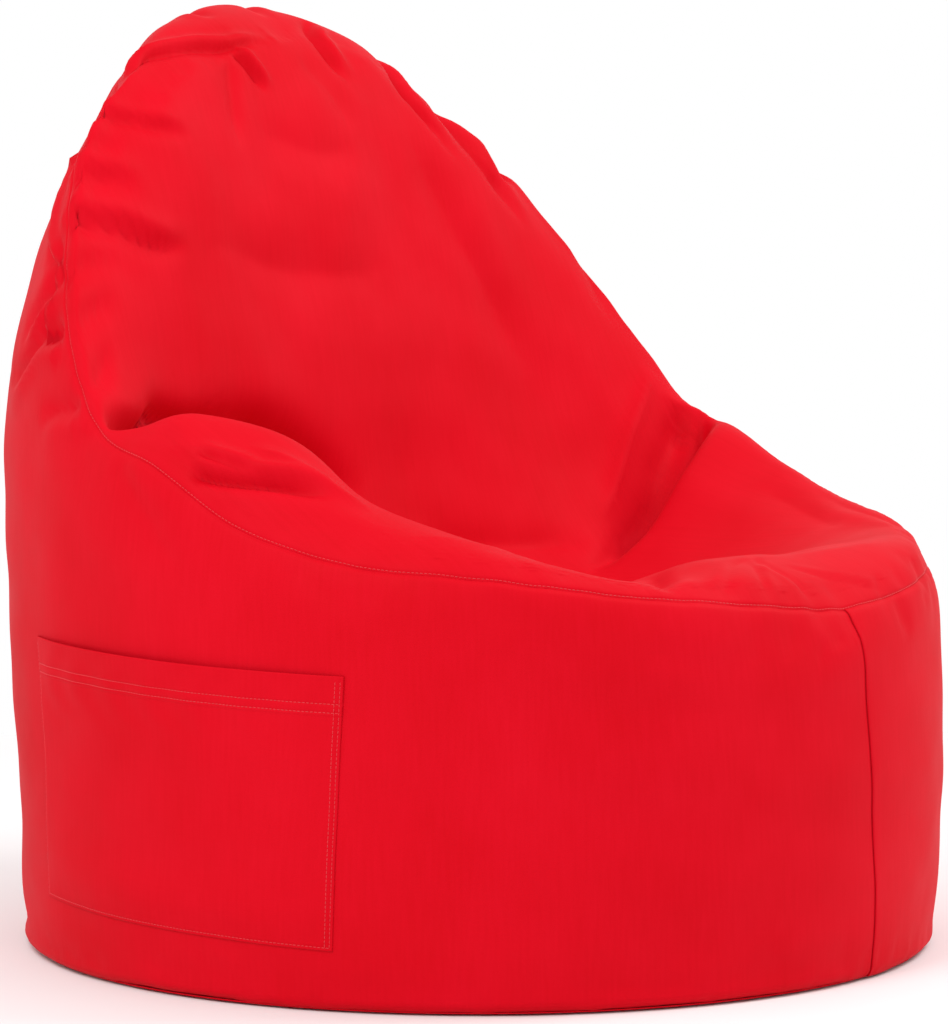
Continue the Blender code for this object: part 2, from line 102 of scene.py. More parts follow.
footEdge, seamRing, seatRing = 3, 7, 12  # the pairs at the base's edge, the upper seam and the seat's middle
wallRadius = 0.44


def smooth(share):
    # from 0 to 1, level at both ends
    return share * share * (3 - 2 * share)


def throughPoints(stops, values, places):
    # a smooth curve through values at stops, level at both ends
    slopes = np.zeros_like(values)
    slopes[1:-1] = (values[2:] - values[:-2]) / (stops[2:] - stops[:-2])[:, None, None]
    index = np.clip(np.searchsorted(stops, places, side="right") - 1, 0, len(stops) - 2)
    width = (stops[index + 1] - stops[index])[:, None, None]
    s = (places - stops[index])[:, None, None] / width
    rise = smooth(s)
    curve = values[index] * (1 - rise) + values[index + 1] * rise
    return curve + slopes[index] * s * (1 - s) ** 2 * width - slopes[index + 1] * s * s * (1 - s) * width


def wrapped(angles):
    return (angles + 180) % 360 - 180


def sectionsAt(angles):
    turned = wrapped(angles)
    sections = np.zeros((len(angles), seatRing + 1, 2))
    sections[:, :6] = bodyShape["foot"]
    for side, chosen in (("left", turned > 0), ("right", turned <= 0)):
        if chosen.any():
            stops = np.array(list(bodyShape[side]), float)
            values = np.array(list(bodyShape[side].values()))
            sections[chosen, 6:seatRing] = throughPoints(stops, values, abs(turned[chosen]))
    sections[:, seatRing, 1] = bodyShape["seatMiddle"]
    return sections


def bodySurface(angles, rings):
    # points of the bag: one column for each angle, with that column's own row of rings
    sections = sectionsAt(angles)
    slopes = np.zeros_like(sections)
    slopes[:, 1:-1] = (sections[:, 2:] - sections[:, :-2]) / 2
    index = np.clip(rings.astype(int), 0, seatRing - 1)
    s = (rings - index)[..., None]
    column = np.arange(len(angles))[:, None]
    rise = smooth(s)
    profile = sections[column, index] * (1 - rise) + sections[column, index + 1] * rise
    profile += slopes[column, index] * s * (1 - s) ** 2 - slopes[column, index + 1] * s * s * (1 - s)
    turn = np.radians(angles)[:, None]
    radius, height = profile[..., 0], profile[..., 1]
    return np.stack((np.sin(turn) * radius, -np.cos(turn) * radius, height), -1)


def unit(vectors):
    return vectors / np.maximum(np.linalg.norm(vectors, axis=-1, keepdims=True), 1e-9)


def bodyNormals(angles, rings):
    roundWay = bodySurface(angles + 1, rings) - bodySurface(angles - 1, rings)
    above = bodySurface(angles, np.minimum(rings + 0.06, seatRing))
    below = bodySurface(angles, np.maximum(rings - 0.06, 0))
    normals = unit(np.cross(roundWay, above - below))
    normals[rings > seatRing - 0.03] = (0, 0, 1)
    return normals


def rowRings(angles, firstRing, lastRing, near, rows, far=(0.0,), crowding=1.0):
    # rings of each column's rows: near and far are distances from the two ends, in metres, and the
    # rest of the rows lie between them, evenly or (crowding above one) closer to the first end
    fine = np.linspace(firstRing, lastRing, 401)
    points = bodySurface(angles, np.tile(fine, (len(angles), 1)))
    steps = np.linalg.norm(np.diff(points, axis=1), axis=2)
    run = np.concatenate((np.zeros((len(angles), 1)), np.cumsum(steps, axis=1)), axis=1)
    rings, lengths = [], []
    shares = np.linspace(0, 1, rows + 2)[1:-1] ** crowding
    for length in run:
        middle = near[-1] + (length[-1] - far[-1] - near[-1]) * shares
        wanted = np.concatenate((near, middle, length[-1] - np.array(far)[::-1]))
        rings.append(np.interp(wanted, length, fine))
        lengths.append(wanted)
    return np.array(rings), np.array(lengths)


# Each fold is a line on the bag through (angle, ring) points. Depth is how far the cloth goes in
# at the line (out, where it is below zero), width how wide the dip is, and lip the share of the
# depth that rises beside it: to the left of the line's direction above zero, to the right below.
folds = (
    # where the arms meet the back
    (((-102, 7.0), (-103, 7.5), (-105, 8.3), (-108, 9.2), (-108, 10.2)), 0.012, 0.014, 0.35),
    (((-102, 7.4), (-105, 8.3), (-109, 9.0), (-116, 9.65), (-121, 9.93), (-127, 10.15)), 0.032, 0.013, 0.0),
    (
        ((-116, 9.65), (-127, 10.15), (-133, 10.3), (-143, 10.48), (-156, 10.62), (-172, 10.75)),
        0.042, 0.022, 0.0,
    ),
    (((-150, 7.2), (180, 7.2), (150, 7.2)), 0.003, 0.040, 0.0),
    (((96, 7.5), (94.2, 8.0), (93.8, 8.6), (94.6, 9.4), (96.5, 10.2), (98, 10.8)), 0.036, 0.010, 0.0),
    (((98, 7.7), (96.8, 8.6), (97.4, 9.6), (99, 10.5)), 0.030, 0.020, 0.0),
    (((103, 7.9), (102.5, 8.8), (102.9, 9.6), (102.5, 10.3)), -0.008, 0.010, 0.0),
    (((100, 10.4), (115, 10.8), (135, 10.95), (165, 10.95)), 0.010, 0.022, 0.0),
    # the near arm
    (((-88, 7.10), (-82, 7.36), (-76, 7.54), (-69, 7.68)), 0.015, 0.008, 0.5),
    (((-88, 7.34), (-83.5, 7.42), (-79, 7.56)), 0.008, 0.006, 0.5),
    (((-84, 7.66), (-77, 7.76), (-70, 7.80), (-64, 7.84)), -0.006, 0.009, 0.0),
    (((-92, 7.2), (-86, 7.45), (-80, 7.62)), -0.003, 0.009, 0.0),
    (((-97, 8.2), (-88, 8.55), (-78, 8.7), (-68, 8.5)), -0.005, 0.022, 0.0),
    (((-60, 7.5), (-52, 7.7), (-44, 7.9)), -0.003, 0.016, 0.0),
    # the front edge
    (((-29, 7.05), (-27, 7.6), (-24, 8.4), (-20, 9.2)), 0.006, 0.012, -0.3),
    (((-21, 7.05), (-18, 7.45), (-13, 7.9), (-6, 8.1)), 0.0026, 0.006, 0.5),
    (((-14, 7.05), (-13, 7.4), (-10, 7.8), (-4, 8.1)), 0.0022, 0.005, -0.5),
    (((-6, 7.05), (-7, 7.4), (-8, 7.8), (-5, 8.2)), 0.0020, 0.005, 0.5),
    (((10, 7.05), (2, 7.35), (-6, 7.8)), 0.0018, 0.006, -0.5),
    (((-4, 8.15), (12, 8.4), (30, 8.3)), 0.0020, 0.012, 0.3),
    # the far arm
    (((46, 7.6), (52, 8.1), (60, 8.3), (72, 8.15)), 0.0025, 0.012, 0.5),
    (((50, 8.8), (66, 8.7), (80, 8.6)), 0.0025, 0.014, -0.4),
    # the head of the back
    (((-133, 7.1), (-143, 8.05), (-156, 8.52), (-174, 8.62)), 0.010, 0.006, 0.6),
    (((-156, 8.50), (-158, 8.72), (-161, 9.0)), 0.010, 0.006, 0.6),
    (((-155, 8.5), (-149, 8.85), (-144, 9.2)), 0.005, 0.010, 0.3),
    (((165, 7.9), (170, 8.35), (170.5, 8.72), (165, 8.95)), 0.010, 0.008, 0.5),
    (((-178, 7.1), (178, 7.7), (-179, 8.3)), 0.005, 0.010, 0.3),
    (((-162, 7.1), (-164, 7.6), (-161, 8.1)), 0.005, 0.010, -0.4),
    (((152, 7.4), (147, 8.0), (146, 8.35), (140, 8.55), (132, 8.8)), 0.011, 0.009, 0.5),
    (((139, 7.2), (134, 7.9), (127, 8.35), (119, 8.6)), 0.010, 0.011, 0.45),
    (((128, 6.8), (126, 7.5), (123, 8.1)), 0.014, 0.015, -0.3),
    (((115, 7.0), (112, 7.7), (108, 8.4)), 0.004, 0.012, 0.3),
    # folds running in from the back's seam on the pocket side
    (((-127.5, 7.05), (-127, 7.8), (-129, 8.5), (-133, 8.9)), 0.007, 0.008, 0.45),
    (((-124.5, 7.05), (-124, 7.7), (-125, 8.3)), 0.004, 0.009, -0.35),
    (((-121.5, 7.05), (-121.6, 7.9), (-123.5, 8.75)), 0.007, 0.010, 0.5),
    (((-118.6, 7.0), (-118.6, 8.1), (-121, 8.95), (-126, 9.3)), 0.010, 0.010, 0.5),
    (((-115, 7.05), (-115.6, 7.9), (-119, 8.9)), 0.004, 0.010, 0.35),
    (((-111, 7.05), (-112, 7.9), (-116, 8.8)), 0.005, 0.012, 0.3),
    (((-106.5, 7.05), (-108, 7.8), (-112, 8.5)), 0.005, 0.010, -0.35),
    # broad soft folds on the back
    (((-122, 9.2), (-145, 9.7), (180, 9.85), (155, 9.7)), 0.006, 0.028, 0.4),
    (((150, 8.9), (138, 9.3), (126, 9.5), (116, 9.8)), 0.006, 0.024, 0.4),
    (((-150, 9.1), (-172, 9.35), (165, 9.3)), 0.005, 0.024, -0.4),
    (((-176, 8.75), (175, 9.0), (168, 9.25)), 0.004, 0.016, 0.4),
    # the wall under the back's seam
    (((-134, 6.9), (-127, 6.5), (-120, 6.62), (-120.5, 6.42), (-124, 6.25)), 0.014, 0.008, 0.5),
    (((-117.5, 6.95), (-118.5, 6.75), (-119.5, 6.55)), 0.012, 0.010, 0.3),
    (((-119, 6.95), (-122, 6.45), (-130, 6.1)), 0.010, 0.010, 0.4),
    (((-113, 6.95), (-117, 6.55), (-126, 6.1), (-134, 6.0)), 0.012, 0.011, 0.45),
    (((-107, 6.95), (-110, 6.6), (-118, 6.1)), 0.008, 0.011, 0.35),
    (((-128, 6.95), (-133, 6.7), (-140, 6.5)), 0.011, 0.009, 0.45),
    (((-145, 6.95), (-148, 6.7), (-150, 6.4)), 0.007, 0.012, -0.3),
    (((-160, 6.95), (-160, 6.7), (-158, 6.35)), 0.006, 0.012, 0.3),
    (((170, 6.95), (172, 6.7), (176, 6.4)), 0.005, 0.012, 0.3),
    (((150, 6.95), (147, 6.65), (145, 6.3)), 0.007, 0.013, 0.3),
    (((131, 6.95), (127, 6.6), (124, 6.1)), 0.007, 0.013, -0.3),
    (((118, 6.95), (114, 6.55), (112, 6.0)), 0.006, 0.013, 0.3),
    (((104, 6.9), (101, 6.4), (100, 5.9)), 0.004, 0.014, 0.0),
    (((-99, 6.95), (-93, 6.6), (-84, 6.35)), 0.003, 0.018, 0.3),
    (((-74, 6.9), (-66, 6.6), (-56, 6.45)), 0.002, 0.020, 0.3),
)


foldLook = {
    "reach": 3.2,  # how many widths away a fold still moves the cloth
    "seamStart": 0.14,  # the share of its length over which it deepens, where it starts at a seam
    "start": 0.28,  # and elsewhere
    "end": 0.35,
    "steepness": 1.2,
    "power": 1.35,
    "lipAt": 1.7,  # widths from the line to the lip beside it
}


def foldPath(line):
    # the fold's line on the bag, a point every few millimetres
    angles, rings = [], []
    reached = line[0][0]
    for (angleA, ringA), (angleB, ringB) in zip(line[:-1], line[1:]):
        turn = (angleB - angleA + 180) % 360 - 180
        for share in np.linspace(0, 1, 24, endpoint=False):
            angles.append(reached + turn * share)
            rings.append(ringA + (ringB - ringA) * share)
        reached += turn
    angles = np.convolve(np.pad(angles, 9, mode="edge"), np.ones(19) / 19, mode="valid")
    rings = np.convolve(np.pad(rings, 9, mode="edge"), np.ones(19) / 19, mode="valid")
    return bodySurface(angles, rings[:, None])[:, 0]


def foldHeights(points, normals):
    # how far all folds together move each point along its normal
    look = foldLook
    flat, facing = points.reshape(-1, 3), normals.reshape(-1, 3)
    heights = np.zeros(len(flat))
    for line, depth, width, lip in folds:
        path = foldPath(line)
        along = unit(np.gradient(path, axis=0))
        reach = width * look["reach"]
        low, high = path.min(axis=0) - reach, path.max(axis=0) + reach
        near = np.flatnonzero(((flat > low) & (flat < high)).all(axis=1))
        for part in np.array_split(near, len(near) // 20000 + 1):
            if not len(part):
                continue
            gaps = np.linalg.norm(flat[part, None] - path[None], axis=2)
            closest = gaps.argmin(axis=1)
            share = closest / (len(path) - 1)
            start = look["seamStart"] if abs(line[0][1] - seamRing) < 0.15 else look["start"]
            ends = np.clip(np.minimum(share / start, (1 - share) / look["end"]), 0, 1)
            offset = flat[part] - path[closest]
            side = np.sum(offset * np.cross(along[closest], facing[part]), axis=1)
            away = gaps[np.arange(len(part)), closest] / width
            side = np.sign(side) * away
            dip = -np.exp(-look["steepness"] * away ** look["power"])
            raised = abs(lip) * np.exp(-((side * np.sign(lip) + look["lipAt"]) ** 2)) if lip else 0
            heights[part] += depth * (dip + raised) * smooth(ends)
    return heights.reshape(points.shape[:-1])


randomWaves = np.random.default_rng(7)


def waveSet(count, shortest, longest):
    # waves in all directions, whose sum is a soft uneven surface
    directions = unit(randomWaves.normal(size=(count, 3)))
    lengths = randomWaves.uniform(shortest, longest, count)
    return directions * (2 * math.pi / lengths)[:, None], randomWaves.uniform(0, 2 * math.pi, count)


broadWaves = waveSet(16, 0.16, 0.34)
softWaves = waveSet(22, 0.06, 0.13)
seamWaves = waveSet(18, 0.026, 0.052)


def waveHeights(points, waves):
    turns, starts = waves
    return np.sin(points @ turns.T + starts).sum(axis=-1) / math.sqrt(len(starts))


coverLook = {
    "broadWave": 0.0018,  # soft unevenness of the filling
    "softWave": 0.0008,
    "seamPucker": 0.0006,  # gathers along the seams
    "puckerReach": 0.026,
    "seamDip": 0.0015,  # how far a seam pulls the cloth in
    "seamWidth": 0.0030,
    "turnedEdge": 0.0020,  # from the seam to its row of top stitching
    "clothThickness": 0.0012,
    "allowance": 0.0045,  # how far the cloth turns in behind a seam
    "foldFade": 0.03,  # over this distance the folds grow to their full depth
    "thread": 0.0004,  # how far a row of top stitching pulls the cloth in
    "threadWidth": 0.0009,
}


def seamShape(distance, stitched):
    # the cloth beside a seam is pulled in at it, and again at its row of top stitching
    look = coverLook
    away = distance / look["seamWidth"]
    shape = -look["seamDip"] * np.exp(-(away**2))
    if stitched:
        row = (distance - look["turnedEdge"]) / look["threadWidth"]
        shape = shape - look["thread"] * np.exp(-(row**2))
    return shape


def restHeights(points, normals, seamGap, footGap=None):
    # folds, waves and gathers together, before the seams
    look = coverLook
    # the folds run out at the seams, where the bag is too thin to be pulled in
    share = smooth(np.clip(seamGap / look["foldFade"], 0, 1))
    heights = foldHeights(points, normals) * (0.25 + 0.75 * share)
    heights += look["broadWave"] * waveHeights(points, broadWaves)
    heights += look["softWave"] * waveHeights(points, softWaves)
    closeness = np.exp(-seamGap / look["puckerReach"])
    if footGap is not None:
        closeness = np.maximum(closeness, 0.75 * np.exp(-footGap / look["puckerReach"]))
    heights += look["seamPucker"] * closeness * waveHeights(points, seamWaves)
    return heights


simulation = {
    "voxel": 0.0085,
    "frames": 20,
    "most": 0.0038,  # how far a point may move
    "seamReach": 0.014,  # the cloth has no spare length within this distance of a seam
    "heldBelow": 0.004,  # the base stays where it is
    "cloth": {
        "quality": 6,
        "mass": 0.25,
        "tension_stiffness": 22,
        "compression_stiffness": 14,
        "shear_stiffness": 6,
        "bending_stiffness": 0.35,
        "tension_damping": 6,
        "compression_damping": 6,
        "air_damping": 2,
        "use_pressure": True,
        "uniform_pressure_force": 4.0,
        "vertex_group_shrink": "spare",
        "shrink_min": 0.0,
        "shrink_max": -0.022,  # spare cloth between the seams, which buckles into puckers
        "vertex_group_mass": "held",
    },
}
clothField = {}


def only(thing):
    # this object alone selected and active
    bpy.ops.object.select_all(action="DESELECT")
    thing.select_set(True)
    bpy.context.view_layer.objects.active = thing
    return thing


def meshPoints(mesh):
    flat = np.empty(len(mesh.vertices) * 3, np.float32)
    mesh.vertices.foreach_get("co", flat)
    return flat.reshape(-1, 3).astype(float)


def setMeshPoints(mesh, points):
    mesh.vertices.foreach_set("co", np.ascontiguousarray(points, np.float32).ravel())
    mesh.update()


def sheetGrid(name, columns, rows):
    # a flat grid, with the column and row of each of its vertices
    bpy.ops.object.select_all(action="DESELECT")
    bpy.ops.mesh.primitive_grid_add(x_subdivisions=columns, y_subdivisions=rows, size=1)
    thing = bpy.context.object
    thing.name = name
    thing.data.name = name
    flat = meshPoints(thing.data)
    column = np.rint((flat[:, 0] + 0.5) * columns).astype(int)
    row = np.rint((flat[:, 1] + 0.5) * rows).astype(int)
    return thing, column, row


def closeSeams(thing, threshold, turn=True):
    # where the grid's edges and poles meet they become one
    only(thing)
    bpy.ops.object.mode_set(mode="EDIT")
    bpy.ops.mesh.select_all(action="SELECT")
    bpy.ops.mesh.remove_doubles(threshold=threshold)
    bpy.ops.object.mode_set(mode="OBJECT")
    if turn:
        turnOut(thing)


def turnOut(thing):
    only(thing)
    bpy.ops.object.mode_set(mode="EDIT")
    bpy.ops.mesh.select_all(action="SELECT")
    bpy.ops.mesh.normals_make_consistent(inside=False)
    bpy.ops.object.mode_set(mode="OBJECT")


def applyAll(thing):
    only(thing)
    for modifier in list(thing.modifiers):
        bpy.ops.object.modifier_apply(modifier=modifier.name)


def wholeBag():
    # the bag as one closed skin with its folds, for the simulation
    columns, rows = 300, 220
    angles = np.linspace(-180, 180, columns + 1)
    rings = np.tile(np.linspace(0, seatRing, rows + 1), (columns + 1, 1))
    points, normals = bodySurface(angles, rings), bodyNormals(angles, rings)
    seamGap = np.abs(rings - seamRing) * 0.1
    points = points + normals * restHeights(points, normals, seamGap)[..., None]
    thing, column, row = sheetGrid("simulated_bag", columns, rows)
    setMeshPoints(thing.data, points[column, row])
    closeSeams(thing, 1e-4)
    return thing


def seamLines():
    rings = np.linspace(footEdge, seamRing, 160)[None]
    around = np.linspace(-180, 180, 721)
    lines = [bodySurface(around, np.full((721, 1), ring))[:, 0] for ring in (footEdge, seamRing)]
    lines += [bodySurface(np.array([float(angle)]), rings)[0] for angle in (0, 180)]
    return np.concatenate(lines)


def spareCloth(bag, places):
    # the groups that say where the cloth has spare length and where it is held
    line = seamLines()
    tree = KDTree(len(line))
    for number, point in enumerate(line):
        tree.insert(point, number)
    tree.balance()
    reach = simulation["seamReach"]
    gaps = np.array([tree.find(point)[2] for point in places])
    slack = np.clip((gaps - reach * 0.3) / reach, 0, 1)
    spare = bag.vertex_groups.new(name="spare")
    for number, weight in enumerate(slack):
        spare.add([number], float(weight), "REPLACE")
    held = bag.vertex_groups.new(name="held")
    for number, height in enumerate(places[:, 2]):
        if height < simulation["heldBelow"]:
            held.add([number], 1.0, "REPLACE")


def blowUp(bag):
    # the closed cover with air pressure inside, run frame by frame and kept as it ends
    cloth = bag.modifiers.new("cloth", "CLOTH")
    for name, value in simulation["cloth"].items():
        setattr(cloth.settings, name, value)
    cloth.settings.effector_weights.gravity = 0
    cloth.collision_settings.use_collision = False
    cloth.point_cache.frame_start = 1
    cloth.point_cache.frame_end = simulation["frames"]
    for number in range(1, simulation["frames"] + 1):
        bpy.context.scene.frame_set(number)
    applyAll(bag)


def simulateCover():
    bag = wholeBag()
    only(bag)
    remesh = bag.modifiers.new("even cells", "REMESH")
    remesh.mode = "VOXEL"
    remesh.voxel_size = simulation["voxel"]
    applyAll(bag)
    start = meshPoints(bag.data)
    spareCloth(bag, start)
    blowUp(bag)
    moved = meshPoints(bag.data) - start
    bpy.context.scene.frame_set(1)
    length = np.linalg.norm(moved, axis=1, keepdims=True)
    percentiles = np.round(np.percentile(length, (50, 90, 99)), 4)
    print("simulated cover:", len(start), "points, moved by", percentiles)
    most = simulation["most"]
    moved *= most * np.tanh(length / most) / np.maximum(length, 1e-9)
    setMeshPoints(bag.data, start)
    bag.data.calc_loop_triangles()
    corners = np.empty(len(bag.data.loop_triangles) * 3, np.int32)
    bag.data.loop_triangles.foreach_get("vertices", corners)
    clothField["corners"] = corners.reshape(-1, 3)
    clothField["start"] = start
    clothField["moved"] = moved
    clothField["tree"] = BVHTree.FromPolygons(start.tolist(), clothField["corners"].tolist())
    bpy.data.objects.remove(bag, do_unlink=True)


def settled(points):
    # the points as the simulated cloth carries them
    if not clothField:
        return points
    flat = points.reshape(-1, 3)
    start, moved = clothField["start"], clothField["moved"]
    result = flat.copy()
    for number, point in enumerate(flat):
        place, _, face, _ = clothField["tree"].find_nearest(point)
        corner = clothField["corners"][face]
        weight = 1 / (np.linalg.norm(start[corner] - place, axis=1) + 1e-4)
        result[number] += (moved[corner] * weight[:, None]).sum(axis=0) / weight.sum()
    return result.reshape(points.shape)


simulateCover()
print("cover simulated")


def newMaterial(name, colour, roughness, metallic=0.0):
    material = bpy.data.materials.new(name)
    material.use_nodes = True
    nodes = material.node_tree.nodes
    shader = nodes["Principled BSDF"]
    shader.inputs["Base Color"].default_value = (*colour, 1)
    shader.inputs["Roughness"].default_value = roughness
    shader.inputs["Metallic"].default_value = metallic
    return material, nodes, material.node_tree.links, shader


def mapped(nodes, links, source, scale):
    place = nodes.new("ShaderNodeTexCoord")
    mapping = nodes.new("ShaderNodeMapping")
    mapping.inputs["Scale"].default_value = scale
    links.new(place.outputs[source], mapping.inputs["Vector"])
    return mapping.outputs["Vector"]


def noiseOf(nodes, links, vector, scale, detail=3.0, roughness=0.55):
    noise = nodes.new("ShaderNodeTexNoise")
    noise.inputs["Scale"].default_value = scale
    noise.inputs["Detail"].default_value = detail
    noise.inputs["Roughness"].default_value = roughness
    links.new(vector, noise.inputs["Vector"])
    return noise.outputs["Fac"]


def rampOf(nodes, links, value, stops):
    ramp = nodes.new("ShaderNodeValToRGB")
    for element, (place, colour) in zip(ramp.color_ramp.elements, stops[:2]):
        element.position = place
        element.color = (*colour, 1)
    for place, colour in stops[2:]:
        ramp.color_ramp.elements.new(place).color = (*colour, 1)
    links.new(value, ramp.inputs["Fac"])
    return ramp.outputs["Color"]


def mathOf(nodes, links, operation, first, second):
    node = nodes.new("ShaderNodeMath")
    node.operation = operation
    for socket, value in zip(node.inputs, (first, second)):
        if isinstance(value, (int, float)):
            socket.default_value = value
        else:
            links.new(value, socket)
    return node.outputs["Value"]


def unevenOf(nodes, links, base, value, amount):
    # a value that varies by this amount over the surface
    return mathOf(nodes, links, "ADD", base, mathOf(nodes, links, "MULTIPLY", value, amount))


def weaveOf(nodes, links, vector, threadsPerMetre):
    # warp and weft threads passing over and under each other, as a height
    waves = []
    for direction in ("X", "Y"):
        wave = nodes.new("ShaderNodeTexWave")
        wave.wave_type = "BANDS"
        wave.bands_direction = direction
        wave.wave_profile = "SIN"
        wave.inputs["Scale"].default_value = threadsPerMetre / 20
        wave.inputs["Distortion"].default_value = 0.4
        wave.inputs["Detail"].default_value = 1.0
        wave.inputs["Detail Scale"].default_value = 0.6
        links.new(vector, wave.inputs["Vector"])
        waves.append(wave.outputs["Fac"])
    return mathOf(nodes, links, "MAXIMUM", waves[0], waves[1])


def bumpOf(nodes, links, shader, heights):
    # several bumps over each other, each (height, strength, distance)
    before = None
    for height, strength, distance in heights:
        bump = nodes.new("ShaderNodeBump")
        bump.inputs["Strength"].default_value = strength
        bump.inputs["Distance"].default_value = distance
        links.new(height, bump.inputs["Height"])
        if before:
            links.new(before, bump.inputs["Normal"])
        before = bump.outputs["Normal"]
    links.new(before, shader.inputs["Normal"])


clothLook = {
    "red": (0.585, 0.0010, 0.0095),
    "deepRed": (0.55, 0.0005, 0.0068),
    "brightRed": (0.62, 0.0020, 0.0125),
    "threadsPerMetre": 900,
    "sheen": 0.02,
    "sheenTint": (1.0, 0.45, 0.45, 1),
    "gloss": 0.06,
    "roughness": 0.62,
}


def coverCloth():
    look = clothLook
    material, nodes, links, shader = newMaterial("red_cover_cloth", look["red"], look["roughness"])
    shader.inputs["Specular IOR Level"].default_value = look["gloss"]
    shader.inputs["Sheen Weight"].default_value = look["sheen"]
    shader.inputs["Sheen Roughness"].default_value = 0.4
    shader.inputs["Sheen Tint"].default_value = look["sheenTint"]
    place = mapped(nodes, links, "Object", (1, 1, 1))
    along = mapped(nodes, links, "UV", (1, 1, 1))
    blotches = noiseOf(nodes, links, place, 7.0, 3.0)
    slubs = noiseOf(nodes, links, mapped(nodes, links, "UV", (300, 22, 1)), 1.0, 2.0)
    tone = unevenOf(nodes, links, mathOf(nodes, links, "MULTIPLY", blotches, 0.7), slubs, 0.3)
    tones = ((0.30, look["deepRed"]), (0.72, look["brightRed"]), (0.5, look["red"]))
    links.new(rampOf(nodes, links, tone, tones), shader.inputs["Base Color"])
    weave = weaveOf(nodes, links, along, look["threadsPerMetre"])
    rubbed = noiseOf(nodes, links, place, 24.0, 4.0)
    links.new(unevenOf(nodes, links, 0.55, rubbed, 0.16), shader.inputs["Roughness"])
    crumple = noiseOf(nodes, links, place, 26.0, 4.0, 0.5)
    bumpOf(nodes, links, shader, ((crumple, 0.04, 0.004), (slubs, 0.12, 0.0003), (weave, 0.16, 0.00018)))
    return material


def threadFinish(name, colour):
    material, nodes, links, shader = newMaterial(name, colour, 0.5)
    place = mapped(nodes, links, "Object", (1, 1, 1))
    tone = noiseOf(nodes, links, place, 900.0, 2.0)
    dark = tuple(channel * 0.8 for channel in colour)
    links.new(rampOf(nodes, links, tone, ((0.35, dark), (0.65, colour))), shader.inputs["Base Color"])
    bumpOf(nodes, links, shader, ((tone, 0.3, 0.0002),))
    shader.inputs["Sheen Weight"].default_value = 0.1
    return material


def plainCloth(name, colour, threadsPerMetre, source="UV"):
    material, nodes, links, shader = newMaterial(name, colour, 0.85)
    shader.inputs["Specular IOR Level"].default_value = 0.12
    along = mapped(nodes, links, source, (1, 1, 1))
    place = mapped(nodes, links, "Object", (1, 1, 1))
    tone = noiseOf(nodes, links, place, 9.0, 4.0)
    dark = tuple(channel * 0.86 for channel in colour)
    links.new(rampOf(nodes, links, tone, ((0.3, dark), (0.7, colour))), shader.inputs["Base Color"])
    weave = weaveOf(nodes, links, along, threadsPerMetre)
    fuzz = noiseOf(nodes, links, place, 300.0, 3.0)
    bumpOf(nodes, links, shader, ((fuzz, 0.12, 0.0004), (weave, 0.35, 0.0003)))
    return material


def mouldedPlastic(name, colour):
    material, nodes, links, shader = newMaterial(name, colour, 0.4)
    shader.inputs["Specular IOR Level"].default_value = 0.3
    place = mapped(nodes, links, "Object", (1, 1, 1))
    tone = noiseOf(nodes, links, place, 160.0, 3.0)
    dark = tuple(channel * 0.85 for channel in colour)
    links.new(rampOf(nodes, links, tone, ((0.35, dark), (0.7, colour))), shader.inputs["Base Color"])
    grain = noiseOf(nodes, links, place, 700.0)
    links.new(unevenOf(nodes, links, 0.32, grain, 0.2), shader.inputs["Roughness"])
    bumpOf(nodes, links, shader, ((tone, 0.08, 0.0003),))
    return material


def platedMetal(name, colour):
    material, nodes, links, shader = newMaterial(name, colour, 0.3, 1.0)
    place = mapped(nodes, links, "Object", (1, 1, 1))
    tone = noiseOf(nodes, links, place, 220.0, 4.0)
    worn = tuple(min(channel * 1.7, 1) for channel in colour)
    links.new(rampOf(nodes, links, tone, ((0.45, colour), (0.75, worn))), shader.inputs["Base Color"])
    scratches = noiseOf(nodes, links, mapped(nodes, links, "Object", (1, 1, 12)), 300.0, 5.0)
    links.new(unevenOf(nodes, links, 0.24, scratches, 0.22), shader.inputs["Roughness"])
    bumpOf(nodes, links, shader, ((scratches, 0.1, 0.0002),))
    return material


def beadFoam():
    material, nodes, links, shader = newMaterial("white_beads", (0.92, 0.92, 0.92), 0.6)
    place = mapped(nodes, links, "Object", (1, 1, 1))
    cells = nodes.new("ShaderNodeTexVoronoi")
    cells.inputs["Scale"].default_value = 260.0
    links.new(place, cells.inputs["Vector"])
    # painted shade: the white beads turn grey towards their edges, where the gaps between them fall into
    # shade
    tones = ((0.2, (0.94, 0.94, 0.94)), (0.9, (0.6, 0.6, 0.6)))
    links.new(rampOf(nodes, links, cells.outputs["Distance"], tones), shader.inputs["Base Color"])
    beads = mathOf(nodes, links, "SUBTRACT", 1.0, cells.outputs["Distance"])
    bumpOf(nodes, links, shader, ((beads, 0.9, 0.002),))
    return material


finishes = {
    "cloth": coverCloth(),
    "thread": threadFinish("red_thread", (0.68, 0.006, 0.018)),
    "liner": plainCloth("white_liner_cloth", (0.82, 0.82, 0.80), 700),
    "tape": plainCloth("red_zip_tape", (0.55, 0.010, 0.020), 1400, "Object"),
    "linerTape": plainCloth("white_zip_tape", (0.82, 0.82, 0.80), 1400, "Object"),
    "teeth": mouldedPlastic("red_zip_teeth", (0.55, 0.010, 0.020)),
    "linerTeeth": mouldedPlastic("white_zip_teeth", (0.80, 0.80, 0.78)),
    "metal": platedMetal("dark_plated_metal", (0.20, 0.20, 0.21)),
    "beads": beadFoam(),
}
print("materials made")


def dress(thing, material):
    thing.data.materials.clear()
    thing.data.materials.append(material)
    return thing


panels = {}
